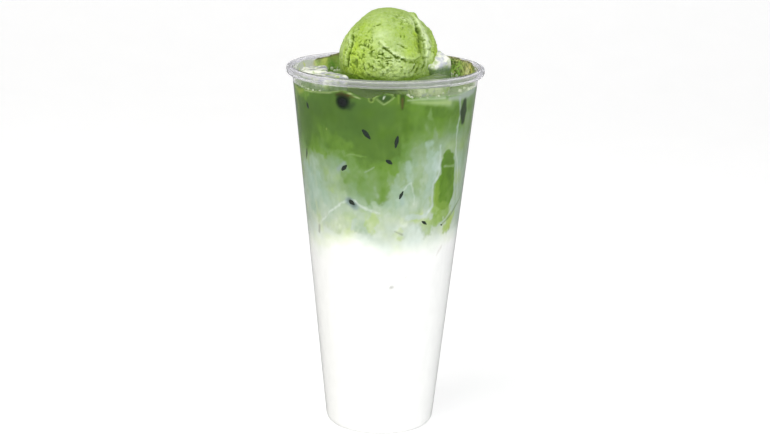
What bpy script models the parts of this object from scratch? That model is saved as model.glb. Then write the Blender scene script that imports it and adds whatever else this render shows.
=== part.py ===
"""A matcha float: milk and green tea in a tall clear cup, with an ice cream scoop and ice on top.

Run it with: blender --background --python part.py

Lengths are metres. The cup stands on z = 0 with its axis on Z, and -Y is its front. An azimuth is
measured round Z from the front, towards +X. Every piece is one closed body, and a small gap keeps
each of them clear of its neighbours.
"""

import math
from typing import NamedTuple

import bmesh
import bpy
from mathutils import Euler, Matrix, Vector

MM = 0.001

# Cup: a thin tapered wall, a round corner at the base and a curled lip
CUP_HEIGHT = 178.0 * MM
RIM_RADIUS = 47.5 * MM
LIP_HEIGHT = 4.1 * MM
WALL = 0.9 * MM
BASE_RADIUS = 25.8 * MM  # where the wall's line meets z = 0
WALL_TAPER = math.radians(6.17)
BASE_CORNER = 5.0 * MM
FOOT_INNER_RADIUS = 14.5 * MM
FOOT_RECESS = 1.2 * MM
LIP_END_ANGLE = -105.0

# Drink
MILK_TOP = 99.0 * MM
DRINK_TOP = 169.5 * MM
GAP = 0.3 * MM
SCOOP_GAP = 0.36 * MM  # a little more, because the scoop's skin slopes at its folds

# Scoop
SCOOP_CENTRE = Vector((1.0, 0.0, 181.5)) * MM
SCOOP_RADIUS = 23.3 * MM
SCOOP_CROWN = 0.8 * MM  # how much taller than round it is
FOLD_TAPER = 0.15  # the share of a fold's path over which each of its ends fades

# Meshing
TURN_STEPS = 60
SCOOP_DETAIL = 4
SHARP_ANGLE = math.radians(35)
MERGE = 0.001 * MM


class Finish(NamedTuple):
    """A piece's material."""

    name: str
    colour: tuple[float, float, float]
    roughness: float
    alpha: float = 1.0


CLEAR_PLASTIC = Finish("clear_plastic", (0.93, 0.95, 0.94), 0.08, 0.3)
MILK = Finish("milk", (0.98, 0.97, 0.94), 0.25)
MATCHA = Finish("matcha", (0.15, 0.24, 0.05), 0.2)
ICE_CREAM = Finish("ice_cream", (0.42, 0.63, 0.18), 0.55)
ICE = Finish("ice", (0.85, 0.9, 0.88), 0.05, 0.5)


class Fold(NamedTuple):
    """A crease in the scoop along a path of (azimuth, elevation) degrees."""

    path: tuple[tuple[float, float], ...]
    half_width: float
    depth: float


class Ledge(NamedTuple):
    """A layer that is raised on the left of a path, as one looks along it from outside."""

    path: tuple[tuple[float, float], ...]
    height: float
    rise: float
    fade: float


class Mound(NamedTuple):
    """A round swelling, or a dent where the height is negative."""

    azimuth: float
    elevation: float
    reach: float
    height: float


class IceBlock(NamedTuple):
    """A lump of ice: a bevelled box that narrows downwards."""

    name: str
    centre: tuple[float, float, float]
    size: tuple[float, float, float]
    turn: tuple[float, float, float]
    bottom_scale: float
    bevel: float


LEDGES = (
    # The curled flap on the right, and its step down to the back
    Ledge(((95, 72), (76, 63), (64, 52), (57, 40), (56, 28), (56, 14), (58, 2), (60, -14)), 1.6, 2.8, 34),
    Ledge(((64, -20), (62, -9), (62, 3), (67, 14), (79, 24), (96, 33), (118, 40)), -1.0, 2.4, 30),
    # The dome that laps over the lower lobe in front
    Ledge(((-14, 28), (-11, 25), (0, 15), (10, 9), (18, 5), (32, 4), (42, 8), (46, 15)), 0.7, 2.0, 9),
    # The strip on the left
    Ledge(((-52, -8), (-52, 1), (-50, 11), (-50, 22), (-56, 33), (-70, 42)), 0.9, 2.2, 15),
    # A long lap round the back
    Ledge(((150, -16), (158, 2), (176, 16), (200, 24), (228, 20)), 0.8, 2.4, 14),
)
FOLDS = (
    Fold(((70, 62), (58, 55), (51, 47), (49, 39), (47, 28), (46, 18), (44, 9)), 1.8, 1.8),
    Fold(((-8, 22), (0, 15), (10, 9), (18, 5), (32, 4), (42, 8)), 1.8, 0.9),
    Fold(((-52, -4), (-52, 1), (-50, 11), (-50, 22), (-56, 33)), 1.8, 1.2),
    Fold(((-44, 21), (-36, 22), (-28, 20), (-25, 28)), 1.7, 0.6),
    Fold(((-25, 8), (-27, 0), (-28, -12)), 1.7, 0.7),
    Fold(((42, 4), (36, -3), (29, -12)), 1.7, 0.9),
    Fold(((48, 16), (56, 15), (66, 15)), 1.7, 0.7),
    Fold(((112, 26), (124, 8), (128, -12)), 1.8, 0.9),
    Fold(((196, 52), (212, 34), (218, 12)), 1.8, 0.9),
)
MOUNDS = (
    Mound(-102, 42, 15, -1.3),
    Mound(78, 48, 2.6, -1.4),
    Mound(15, -9, 11, 0.8),
    Mound(-38, 4, 7, 0.5),
)

ICE_BLOCKS = (
    IceBlock("ice_left", (-33.4, 0.2, 167.4), (13.5, 15.0, 17.0), (3.0, -5.0, 2.0), 0.82, 2.2),
    IceBlock("ice_front_left", (-26.2, -20.6, 167.8), (14.0, 19.0, 17.0), (-2.0, -4.0, 29.0), 0.80, 2.2),
    IceBlock("ice_front_right", (20.4, -27.9, 169.2), (10.0, 21.5, 15.0), (7.0, 3.0, -46.0), 0.84, 1.8),
    IceBlock("ice_right", (24.6, -4.6, 175.9), (11.6, 9.0, 17.0), (27.7, -26.2, 33.4), 1.0, 1.2),
)


def direction(azimuth: float, elevation: float) -> Vector:
    """Returns the unit vector that points to an azimuth and an elevation in degrees."""
    turn = math.radians(azimuth)
    rise = math.radians(elevation)
    return Vector((math.sin(turn) * math.cos(rise), -math.cos(turn) * math.cos(rise), math.sin(rise)))


def smooth(value: float) -> float:
    """Returns a step that eases from 0 to 1 while the value goes from 0 to 1."""
    held = min(1.0, max(0.0, value))
    return held * held * (3.0 - 2.0 * held)


def arc(centre: tuple[float, float], radius: float, start: float, end: float, steps: int) -> list:
    """Returns points of an arc in the (radius, height) plane, with both its ends."""
    points = []
    for step in range(steps + 1):
        angle = math.radians(start + (end - start) * step / steps)
        points.append((centre[0] + radius * math.cos(angle), centre[1] + radius * math.sin(angle)))
    return points


def wall_radius(height: float, inset: float = 0.0) -> float:
    """Returns the wall's radius at a height, moved in by an inset across the wall."""
    return BASE_RADIUS + height * math.tan(WALL_TAPER) - inset / math.cos(WALL_TAPER)


def base_arc(inset: float) -> list:
    """Returns the base's round corner from the flat of the foot to the wall, moved in by an inset."""
    taper = math.degrees(WALL_TAPER)
    return arc((wall_radius(BASE_CORNER, BASE_CORNER), BASE_CORNER), BASE_CORNER - inset, -90, -taper, 4)


def base_profile(inset: float) -> list:
    """Returns the underside's half profile from the axis to the wall, moved in by an inset."""
    recess_radius = FOOT_INNER_RADIUS - FOOT_RECESS
    recess = [(0.0, FOOT_RECESS + inset), (recess_radius, FOOT_RECESS + inset)]
    return recess + [(FOOT_INNER_RADIUS, inset)] + base_arc(inset)


def lip_profile() -> list:
    """Returns the lip's half profile: under the curl, round its end and back over the top."""
    curl = (RIM_RADIUS - WALL - wall_radius(CUP_HEIGHT - LIP_HEIGHT / 2, WALL)) / 2
    centre = RIM_RADIUS - WALL / 2 - curl
    top = CUP_HEIGHT - WALL / 2 - curl
    low = CUP_HEIGHT - LIP_HEIGHT + WALL / 2 + curl
    inside = curl - WALL / 2
    outside = curl + WALL / 2
    under = arc((centre, top), inside, 180, 0, 4) + arc((centre, low), inside, 0, LIP_END_ANGLE, 2)
    over = arc((centre, low), outside, LIP_END_ANGLE, 0, 3) + arc((centre, top), outside, 0, 180, 6)
    return under + over


def material(finish: Finish) -> bpy.types.Material:
    """Returns the material of a finish, made once."""
    made = bpy.data.materials.get(finish.name)
    if made is None:
        made = bpy.data.materials.new(finish.name)
        made.use_nodes = True
        shader = made.node_tree.nodes["Principled BSDF"]
        shader.inputs["Base Color"].default_value = (*finish.colour, 1.0)
        shader.inputs["Roughness"].default_value = finish.roughness
        shader.inputs["Metallic"].default_value = 0.0
        shader.inputs["Alpha"].default_value = finish.alpha
    return made


def add_object(name: str, shape: bmesh.types.BMesh, finish: Finish) -> bpy.types.Object:
    """Makes a named, smooth shaded object out of a bmesh, and frees the bmesh."""
    bmesh.ops.recalc_face_normals(shape, faces=shape.faces)
    mesh = bpy.data.meshes.new(name)
    shape.to_mesh(mesh)
    shape.free()
    mesh.shade_smooth()
    mesh.set_sharp_from_angle(angle=SHARP_ANGLE)
    mesh.materials.append(material(finish))
    made = bpy.data.objects.new(name, mesh)
    bpy.context.scene.collection.objects.link(made)
    return made


def turned(profile: list) -> bmesh.types.BMesh:
    """Turns a half profile, whose two ends lie on the axis, into a closed body."""
    shape = bmesh.new()
    corners = [shape.verts.new((radius, 0.0, height)) for radius, height in profile]
    edges = [shape.edges.new(pair) for pair in zip(corners, corners[1:])]
    bmesh.ops.spin(
        shape, geom=corners + edges, cent=(0, 0, 0), axis=(0, 0, 1), angle=math.tau, steps=TURN_STEPS,
        use_merge=True,
    )
    bmesh.ops.remove_doubles(shape, verts=shape.verts, dist=MERGE)
    return shape


def build_cup() -> None:
    """Makes the cup."""
    inside = base_profile(WALL)
    add_object("cup", turned(base_profile(0.0) + lip_profile() + inside[::-1]), CLEAR_PLASTIC)


def build_milk() -> None:
    """Makes the layer of milk, from the cup's floor up to the tea."""
    top = MILK_TOP - GAP / 2
    profile = base_profile(WALL + GAP)
    profile += [(wall_radius(top, WALL + GAP), top), (0.0, top)]
    add_object("milk", turned(profile), MILK)


def build_matcha(cutters: list[bpy.types.Object]) -> None:
    """Makes the layer of tea, cut round all that floats in it."""
    low = MILK_TOP + GAP / 2
    inset = WALL + GAP
    profile = [(0.0, low), (wall_radius(low, inset), low), (wall_radius(DRINK_TOP, inset), DRINK_TOP)]
    tea = add_object("matcha", turned(profile + [(0.0, DRINK_TOP)]), MATCHA)
    for cutter in cutters:
        cut(tea, cutter)


def cut(body: bpy.types.Object, cutter: bpy.types.Object) -> None:
    """Cuts one object with another."""
    difference = body.modifiers.new(f"cut_{cutter.name}", "BOOLEAN")
    difference.operation = "DIFFERENCE"
    difference.solver = "EXACT"
    difference.object = cutter


def path_place(point: Vector, path: tuple) -> tuple[float, float]:
    """Finds where a direction lies beside a path on the scoop.

    Returns the signed distance from the path, positive on its left, and a weight that falls to
    zero at the path's two ends.
    """
    corners = [direction(*place) for place in path]
    best = math.inf
    side = 1.0
    along = 0.0
    for index, (start, end) in enumerate(zip(corners, corners[1:])):
        run = end - start
        part = min(1.0, max(0.0, (point - start).dot(run) / run.length_squared))
        away = (point - (start + part * run).normalized()).length
        if away < best:
            best = away
            side = 1.0 if point.dot(start.cross(end)) > 0.0 else -1.0
            along = (index + part) / (len(corners) - 1)
    return side * best * SCOOP_RADIUS, smooth(min(along, 1.0 - along) / FOLD_TAPER)


def relief(point: Vector) -> float:
    """Returns how far the scoop's skin lies out from its plain ball in a direction."""
    height = SCOOP_CROWN * max(0.0, point.z) ** 3
    for ledge in LEDGES:
        away, weight = path_place(point, ledge.path)
        step = smooth(away / (ledge.rise * MM)) * (1.0 - smooth(away / (ledge.fade * MM)))
        height += ledge.height * MM * step * weight
    for fold in FOLDS:
        away, weight = path_place(point, fold.path)
        height -= fold.depth * MM * math.exp(-((away / (fold.half_width * MM)) ** 2)) * weight
    for mound in MOUNDS:
        away = (point - direction(mound.azimuth, mound.elevation)).length * SCOOP_RADIUS
        height += mound.height * MM * (1.0 - smooth(away / (mound.reach * MM)))
    return height


def scoop_shape(clearance: float) -> bmesh.types.BMesh:
    """Makes the scoop's body, finer above the drink than below it, grown by a clearance."""
    shape = bmesh.new()
    bmesh.ops.create_icosphere(shape, subdivisions=SCOOP_DETAIL, radius=SCOOP_RADIUS)
    water = DRINK_TOP - SCOOP_CENTRE.z - GAP
    shown = {edge for face in shape.faces if face.calc_center_median().z > water for edge in face.edges}
    bmesh.ops.subdivide_edges(shape, edges=list(shown), cuts=1, use_grid_fill=True)
    bmesh.ops.triangulate(shape, faces=shape.faces)
    for vert in shape.verts:
        point = vert.co.normalized()
        vert.co = SCOOP_CENTRE + point * (SCOOP_RADIUS + relief(point) + clearance)
    return shape


def build_scoop() -> None:
    """Makes the scoop of ice cream."""
    add_object("scoop", scoop_shape(0.0), ICE_CREAM)


def ice_shape(block: IceBlock, clearance: float) -> bmesh.types.BMesh:
    """Makes one lump of ice, grown by a clearance."""
    shape = bmesh.new()
    bmesh.ops.create_cube(shape, size=1.0)
    size = [edge * MM + 2.0 * clearance for edge in block.size]
    for vert in shape.verts:
        narrow = block.bottom_scale if vert.co.z < 0.0 else 1.0
        vert.co = Vector((vert.co.x * size[0] * narrow, vert.co.y * size[1] * narrow, vert.co.z * size[2]))
    bmesh.ops.bevel(
        shape, geom=shape.verts[:] + shape.edges[:], offset=block.bevel * MM, segments=3, profile=0.5,
        affect="EDGES",
    )
    bmesh.ops.triangulate(shape, faces=shape.faces)
    turn = Euler([math.radians(angle) for angle in block.turn]).to_matrix().to_4x4()
    bmesh.ops.transform(shape, matrix=Matrix.Translation(Vector(block.centre) * MM) @ turn, verts=shape.verts)
    return shape


def build_ice(room_for_scoop: bpy.types.Object) -> None:
    """Makes the lumps of ice, hollowed where they would reach into the scoop."""
    for block in ICE_BLOCKS:
        lump = add_object(block.name, ice_shape(block, 0.0), ICE)
        cut(lump, room_for_scoop)


def cutter(name: str, shape: bmesh.types.BMesh) -> bpy.types.Object:
    """Makes an object that only cuts."""
    made = add_object(name, shape, MATCHA)
    made.hide_render = True
    made.display_type = "WIRE"
    return made


def main() -> None:
    """Makes the whole part in an empty scene."""
    for old in list(bpy.data.objects):
        bpy.data.objects.remove(old, do_unlink=True)
    build_cup()
    build_milk()
    build_scoop()
    cutters = [cutter("room_for_scoop", scoop_shape(SCOOP_GAP))]
    build_ice(cutters[0])
    for block in ICE_BLOCKS:
        cutters.append(cutter(f"room_for_{block.name}", ice_shape(block, GAP)))
    build_matcha(cutters)


if __name__ == "__main__":
    main()
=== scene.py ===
"""The looks of a matcha float: milk and green tea in a tall clear cup, under ice cream and ice.

Sizes are in millimetres and angles in degrees. An azimuth is measured round the cup's axis from its
front, -Y, towards +X. Each class makes one part of the drink from Blender's own tools, dresses it,
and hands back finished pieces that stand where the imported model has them.
"""

import logging
import math
from dataclasses import dataclass
from enum import Enum
from typing import Callable
from typing import ClassVar

import bpy
import numpy as np
from mathutils import Matrix
from mathutils import Vector


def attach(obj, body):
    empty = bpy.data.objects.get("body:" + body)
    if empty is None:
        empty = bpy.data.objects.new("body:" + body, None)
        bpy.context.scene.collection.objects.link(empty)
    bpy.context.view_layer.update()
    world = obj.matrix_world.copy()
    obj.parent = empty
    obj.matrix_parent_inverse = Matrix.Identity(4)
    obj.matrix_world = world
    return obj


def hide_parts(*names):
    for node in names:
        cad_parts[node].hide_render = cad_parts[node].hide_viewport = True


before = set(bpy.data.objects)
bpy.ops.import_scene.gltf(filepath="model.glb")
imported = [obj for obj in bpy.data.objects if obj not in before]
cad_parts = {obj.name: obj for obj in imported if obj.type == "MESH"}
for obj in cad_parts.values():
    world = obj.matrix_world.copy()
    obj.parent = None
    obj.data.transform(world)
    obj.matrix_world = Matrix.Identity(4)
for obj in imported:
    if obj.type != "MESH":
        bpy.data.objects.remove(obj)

LOG = logging.getLogger("matcha_float")
MM = 0.001
BODY = "root"
# The curve between display colours and linear ones
SRGB_KNEE = 0.04045
SRGB_SLOPE = 12.92
SRGB_OFFSET = 0.055
SRGB_POWER = 2.4
# What stirs whole numbers until they look random
STIR_CELLS = np.array((374761393, 668265263, 1274126177))
STIR_SEED = 974634777
STIR_AGAIN = 1103515245
STIR_MASK = 0xFFFF
OCTAVE_SHIFT = 17.3
Array = np.ndarray
Piece = bpy.types.Object
Colour = tuple[float, float, float]
Span = tuple[float, float]
Path = tuple[tuple[float, ...], ...]
Profile = list[Span]
WHITE = (1.0, 1.0, 1.0, 1.0)


class Slot(Enum):
    """The record's material slots."""

    PLASTIC = "clear_plastic"
    MILK = "milk"
    MATCHA = "matcha"
    ICE_CREAM = "ice_cream"
    ICE = "ice"


# ------------ Numbers ------------


def linear(colour: Colour | Array) -> Array:
    """Turns display colours into linear ones.

    Args:
        colour: One colour or many, each channel from 0 to 255.

    Returns:
        The same colours, linear, from 0 to 1.
    """
    share = np.clip(np.asarray(colour, float) / 255.0, 0.0, 1.0)
    curve = ((share + SRGB_OFFSET) / (1.0 + SRGB_OFFSET)) ** SRGB_POWER
    return np.where(share <= SRGB_KNEE, share / SRGB_SLOPE, curve)


def ink(colour: Colour, gain: float = 1.0) -> tuple[float, float, float, float]:
    """Returns a display colour as a socket's value, scaled by a gain."""
    red, green, blue = linear(colour) * gain
    return (float(red), float(green), float(blue), 1.0)


def smooth(value: Array) -> Array:
    """Returns a step that eases from 0 to 1 while the value goes from 0 to 1."""
    held = np.clip(value, 0.0, 1.0)
    return held * held * (3.0 - 2.0 * held)


def lattice(cells: Array, seed: int) -> Array:
    """Gives each corner of a grid a number that looks random and never changes.

    Args:
        cells: Whole-number corners, one row each.
        seed: Which set of numbers to give.

    Returns:
        One number from -1 to 1 for each corner.
    """
    mixed = (cells.astype(np.int64) * STIR_CELLS).sum(axis=1) + seed * STIR_SEED
    mixed = (mixed ^ (mixed >> 13)) * STIR_AGAIN
    mixed = (mixed ^ (mixed >> 16)) & STIR_MASK
    return mixed / (STIR_MASK / 2) - 1.0


def noise(points: Array, size: float, seed: int, octaves: int = 1) -> Array:
    """Makes smooth noise.

    Args:
        points: Where, one row of three each.
        size: The size of its largest lumps, in the units of the points.
        seed: Which noise.
        octaves: How many finer layers it has in all.

    Returns:
        One number from about -1 to 1 for each point.
    """
    total = np.zeros(len(points))
    weight = 1.0
    for octave in range(octaves):
        place = points / size * 2.0**octave + OCTAVE_SHIFT * octave
        corner = np.floor(place)
        part = place - corner
        part = part * part * part * (part * (part * 6.0 - 15.0) + 10.0)
        level = np.zeros(len(points))
        for step in np.ndindex(2, 2, 2):
            share = np.prod(np.where(np.array(step) == 1, part, 1.0 - part), axis=1)
            level += share * lattice(corner + np.array(step), seed + octave)
        total += weight * level
        weight *= 0.5
    return total


def direction(azimuth: Array | float, elevation: Array | float) -> Array:
    """Returns the unit vector, or a row of them, that points to an azimuth and an elevation."""
    turn = np.radians(azimuth)
    rise = np.radians(elevation)
    parts = (np.sin(turn) * np.cos(rise), -np.cos(turn) * np.cos(rise), np.sin(rise))
    return np.stack(np.broadcast_arrays(*parts), axis=-1)


def azimuths(points: Array) -> Array:
    """Returns the azimuth of each point, from -180 to 180."""
    return np.degrees(np.arctan2(points[:, 0], -points[:, 1]))


def radii(points: Array) -> Array:
    """Returns how far each point is from the cup's axis."""
    return np.hypot(points[:, 0], points[:, 1])


def lengths(vectors: Array) -> Array:
    """Returns the length of each row."""
    return np.linalg.norm(vectors, axis=1)


def units(vectors: Array) -> Array:
    """Returns the rows scaled to a length of one."""
    return vectors / lengths(vectors)[:, None]


def ramp(values: Array, start: Array | float, width: Array | float) -> Array:
    """Returns a step that eases from 0 to 1 over a width, from a start."""
    return smooth((values - start) / width)


def read_line(stops: Path, values: Array) -> Array:
    """Reads the line through (value, result) stops, at each value."""
    marks = np.array(sorted(stops), float)
    return np.interp(values, marks[:, 0], marks[:, 1])


def bell(values: Array) -> Array:
    """Returns a bell curve: 1 where a value is 0, and falling to 0 on both sides."""
    return np.exp(-(values**2))


def noises(points: Array, size: float, seeds: tuple[int, ...], octaves: int) -> Array:
    """Returns one column of noise for each seed."""
    return np.stack([noise(points, size, seed, octaves) for seed in seeds], axis=1)


def tint(colours: Array, colour: Colour | Array, share: Array) -> Array:
    """Returns colours, one row each, moved towards another colour by each row's share."""
    return colours + (np.asarray(colour, float) - colours) * share[:, None]


# ------------ Modelling as by hand ------------


def deselect_all() -> None:
    """Leaves no object selected."""
    bpy.ops.object.select_all(action="DESELECT")


def select_only(piece: Piece) -> None:
    """Leaves one piece selected and active."""
    deselect_all()
    piece.select_set(True)
    bpy.context.view_layer.objects.active = piece


def to_edit(piece: Piece, kind: str = "VERT") -> None:
    """Goes into edit mode on one piece, to pick vertices, edges or faces."""
    select_only(piece)
    modes = [kind == mode for mode in ("VERT", "EDGE", "FACE")]
    bpy.context.tool_settings.mesh_select_mode = modes
    bpy.ops.object.mode_set(mode="EDIT")


def to_object() -> None:
    """Goes back to object mode."""
    bpy.ops.object.mode_set(mode="OBJECT")


def face_outwards(piece: Piece) -> None:
    """Turns all faces of a piece outwards."""
    to_edit(piece)
    bpy.ops.mesh.select_all(action="SELECT")
    bpy.ops.mesh.normals_make_consistent(inside=False)
    to_object()


def pick(piece: Piece, kind: str, chosen: Array) -> None:
    """Selects parts of a piece's mesh and goes into edit mode.

    Args:
        piece: The piece, in object mode.
        kind: VERT, EDGE or FACE.
        chosen: One truth value for each part of that kind.
    """
    mesh = piece.data
    parts = {"VERT": mesh.vertices, "EDGE": mesh.edges, "FACE": mesh.polygons}
    for group in parts.values():
        group.foreach_set("select", np.zeros(len(group), bool))
    parts[kind].foreach_set("select", np.asarray(chosen, bool))
    to_edit(piece, kind)


def places_of(parts: bpy.types.bpy_prop_collection, name: str) -> Array:
    """Returns the places that a mesh's parts keep under a name, in millimetres, one row each."""
    places = np.zeros(len(parts) * 3)
    parts.foreach_get(name, places)
    return places.reshape(-1, 3) / MM


def vertices_of(piece: Piece) -> Array:
    """Returns a piece's vertices in millimetres, one row each."""
    return places_of(piece.data.vertices, "co")


def move_vertices(piece: Piece, places: Array) -> None:
    """Sets a piece's vertices, given in millimetres."""
    piece.data.vertices.foreach_set("co", (places * MM).ravel())
    piece.data.update()


def face_centres(piece: Piece) -> Array:
    """Returns the centres of a piece's faces in millimetres, one row each."""
    return places_of(piece.data.polygons, "center")


def edge_ends(piece: Piece) -> tuple[Array, Array]:
    """Returns both ends of each edge of a piece, in millimetres."""
    ends = np.zeros(len(piece.data.edges) * 2, np.int64)
    piece.data.edges.foreach_get("vertices", ends)
    places = vertices_of(piece)[ends.reshape(-1, 2)]
    return places[:, 0], places[:, 1]


def new_piece(name: str) -> Piece:
    """Names the primitive that was just added, and returns it."""
    made = bpy.context.object
    made.name = name
    made.data.name = name
    return made


def settle(piece: Piece) -> None:
    """Puts a piece's place, turn and size into its mesh."""
    select_only(piece)
    bpy.ops.object.transform_apply(location=True, rotation=True, scale=True)


def modify(piece: Piece, kind: str, **settings: object) -> None:
    """Adds a modifier to a piece and applies it.

    Args:
        piece: The piece to change.
        kind: The modifier's type.
        **settings: The modifier's settings by name.
    """
    select_only(piece)
    added = piece.modifiers.new(kind.lower(), kind)
    for name, value in settings.items():
        setattr(added, name, value)
    bpy.ops.object.modifier_apply(modifier=added.name)


def shade(piece: Piece, angle: float) -> None:
    """Shades a piece smooth, with edges sharp past an angle in degrees."""
    select_only(piece)
    bpy.ops.object.shade_smooth_by_angle(angle=math.radians(angle))


def copies(name: str, pattern: Piece, forms: list[Array]) -> Piece:
    """Makes one piece from copies of a pattern, each with a mesh of its own.

    Args:
        name: The piece's name.
        pattern: The pattern, which goes.
        forms: Each copy's vertices in millimetres.

    Returns:
        The copies, joined.
    """
    made = []
    for form in forms:
        copy = pattern.copy()
        copy.data = pattern.data.copy()
        bpy.context.scene.collection.objects.link(copy)
        move_vertices(copy, form)
        made.append(copy)
    bpy.data.objects.remove(pattern)
    select_only(made[0])
    for copy in made:
        copy.select_set(True)
    bpy.ops.object.join()
    return new_piece(name)


def mark(piece: Piece, name: str, values: Array) -> None:
    """Keeps a number or a colour for each vertex of a piece, for its material to read.

    Args:
        piece: The piece.
        name: The attribute's name.
        values: One number for each vertex, or one row of three.
    """
    if values.ndim == 1:
        kept = piece.data.attributes.new(name, "FLOAT", "POINT")
        kept.data.foreach_set("value", values.astype(np.float32))
        return
    kept = piece.data.attributes.new(name, "FLOAT_COLOR", "POINT")
    full = np.concatenate([values, np.ones((len(values), 1))], axis=1)
    kept.data.foreach_set("color", full.astype(np.float32).ravel())


class Lathe:
    """Makes a round body: a disc whose edge is extruded and scaled from ring to ring."""

    def __init__(self, name: str, segments: int, radius: float, height: float) -> None:
        """Starts with a disc on the axis.

        Args:
            name: The piece's name.
            segments: How many sides its rings have.
            radius: The disc's radius.
            height: The disc's height.
        """
        deselect_all()
        bpy.ops.mesh.primitive_circle_add(
            vertices=segments, radius=radius * MM, fill_type="TRIFAN", location=(0.0, 0.0, height * MM)
        )
        self.piece = new_piece(name)
        settle(self.piece)
        to_edit(self.piece)
        bpy.ops.mesh.select_all(action="SELECT")
        bpy.ops.mesh.region_to_loop()
        self.radius = radius
        self.height = height

    def ring(self, radius: float, height: float) -> None:
        """Extrudes the open edge to a new ring."""
        bpy.ops.mesh.extrude_region_move(
            TRANSFORM_OT_translate={"value": (0.0, 0.0, (height - self.height) * MM)}
        )
        share = radius / self.radius
        bpy.ops.transform.resize(value=(share, share, 1.0), center_override=(0.0, 0.0, height * MM))
        self.radius = radius
        self.height = height

    @classmethod
    def along(cls, name: str, segments: int, profile: Profile) -> "Lathe":
        """Starts a body, and takes it from ring to ring along a half profile."""
        lathe = cls(name, segments, *profile[0])
        for radius, height in profile[1:]:
            lathe.ring(radius, height)
        return lathe

    def close(self) -> Piece:
        """Closes the body at the axis, and returns it in object mode, facing outwards."""
        bpy.ops.mesh.extrude_region_move(TRANSFORM_OT_translate={"value": (0.0, 0.0, 0.0)})
        bpy.ops.mesh.merge(type="CENTER")
        to_object()
        face_outwards(self.piece)
        return self.piece


# ------------ Materials ------------


class Board:
    """A node tree, with short ways to place nodes and join them."""

    def __init__(self, tree: bpy.types.NodeTree) -> None:
        """Takes the tree to work on."""
        self.tree = tree

    def fill(self, node: bpy.types.Node, inputs: dict) -> bpy.types.Node:
        """Joins a node's inputs to sockets or sets them to values, and returns the node."""
        for place, value in inputs.items():
            if isinstance(value, bpy.types.NodeSocket):
                self.tree.links.new(value, node.inputs[place])
            else:
                node.inputs[place].default_value = value
        return node

    def node(self, kind: str, inputs: dict | None = None, **settings: object) -> bpy.types.Node:
        """Adds a node.

        Args:
            kind: The node's type, without ShaderNode before it.
            inputs: What each input socket, by name or number, is joined to or set to.
            **settings: The node's own settings by name.

        Returns:
            The new node.
        """
        added = self.tree.nodes.new(f"ShaderNode{kind}")
        for name, value in settings.items():
            setattr(added, name, value)
        return self.fill(added, inputs or {})

    def math(self, operation: str, first: object, second: object) -> object:
        """Adds a Math node and returns its output."""
        return self.node("Math", {0: first, 1: second}, operation=operation).outputs[0]

    def blend(self, share: object, first: object, second: object, kind: str = "MIX") -> object:
        """Adds a colour mix and returns its output."""
        sockets = {"Factor": share, 6: first, 7: second}
        return self.node("Mix", sockets, data_type="RGBA", blend_type=kind).outputs[2]

    def range(self, value: object, low: object, high: object,
              to_low: float = 0.0, to_high: float = 1.0) -> object:
        """Adds a Map Range that eases between its ends, and returns its output."""
        sockets = {0: value, 1: low, 2: high, 3: to_low, 4: to_high}
        return self.node("MapRange", sockets, interpolation_type="SMOOTHSTEP").outputs[0]

    def value(self, name: str) -> object:
        """Reads a number that the mesh keeps, and returns the output."""
        return self.node("Attribute", attribute_name=name).outputs["Fac"]

    def paint(self) -> object:
        """Reads the colours that are painted on the mesh, and returns the output."""
        return self.node("Attribute", attribute_name="paint").outputs["Color"]

    def place(self) -> object:
        """Adds a Texture Coordinate node and returns its Object output."""
        return self.node("TexCoord").outputs["Object"]

    def upright(self, scale: float) -> object:
        """Returns object coordinates whose Z is scaled, which draws a texture out upwards."""
        return self.node("Mapping", {"Vector": self.place(), "Scale": (1.0, 1.0, scale)}).outputs[0]

    def bump(self, height: object, strength: float) -> object:
        """Turns a relief in metres into a normal, and returns it."""
        return self.node("Bump", {"Height": height, "Distance": 1.0, "Strength": strength}).outputs[0]

    def surface(self, inputs: dict) -> object:
        """Adds a Principled shader and returns its output."""
        return self.node("BsdfPrincipled", inputs).outputs[0]

    def see_through(self, inputs: dict) -> object:
        """Adds a clear shader that lets lamps and soft bounces reach what is behind it, unbent.

        Args:
            inputs: What each input socket of its Principled shader is joined to or set to.

        Returns:
            The shader to show.
        """
        path = self.node("LightPath")
        open_air = self.node("BsdfTransparent").outputs[0]
        shown = self.surface(inputs)
        for ray in ("Is Diffuse Ray", "Is Shadow Ray"):
            shown = self.node("MixShader", {0: path.outputs[ray], 1: shown, 2: open_air}).outputs[0]
        return shown


class Texture(Enum):
    """The textures that an effect can be made from."""

    NOISE = "noise"
    CELLS = "cells"


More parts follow.
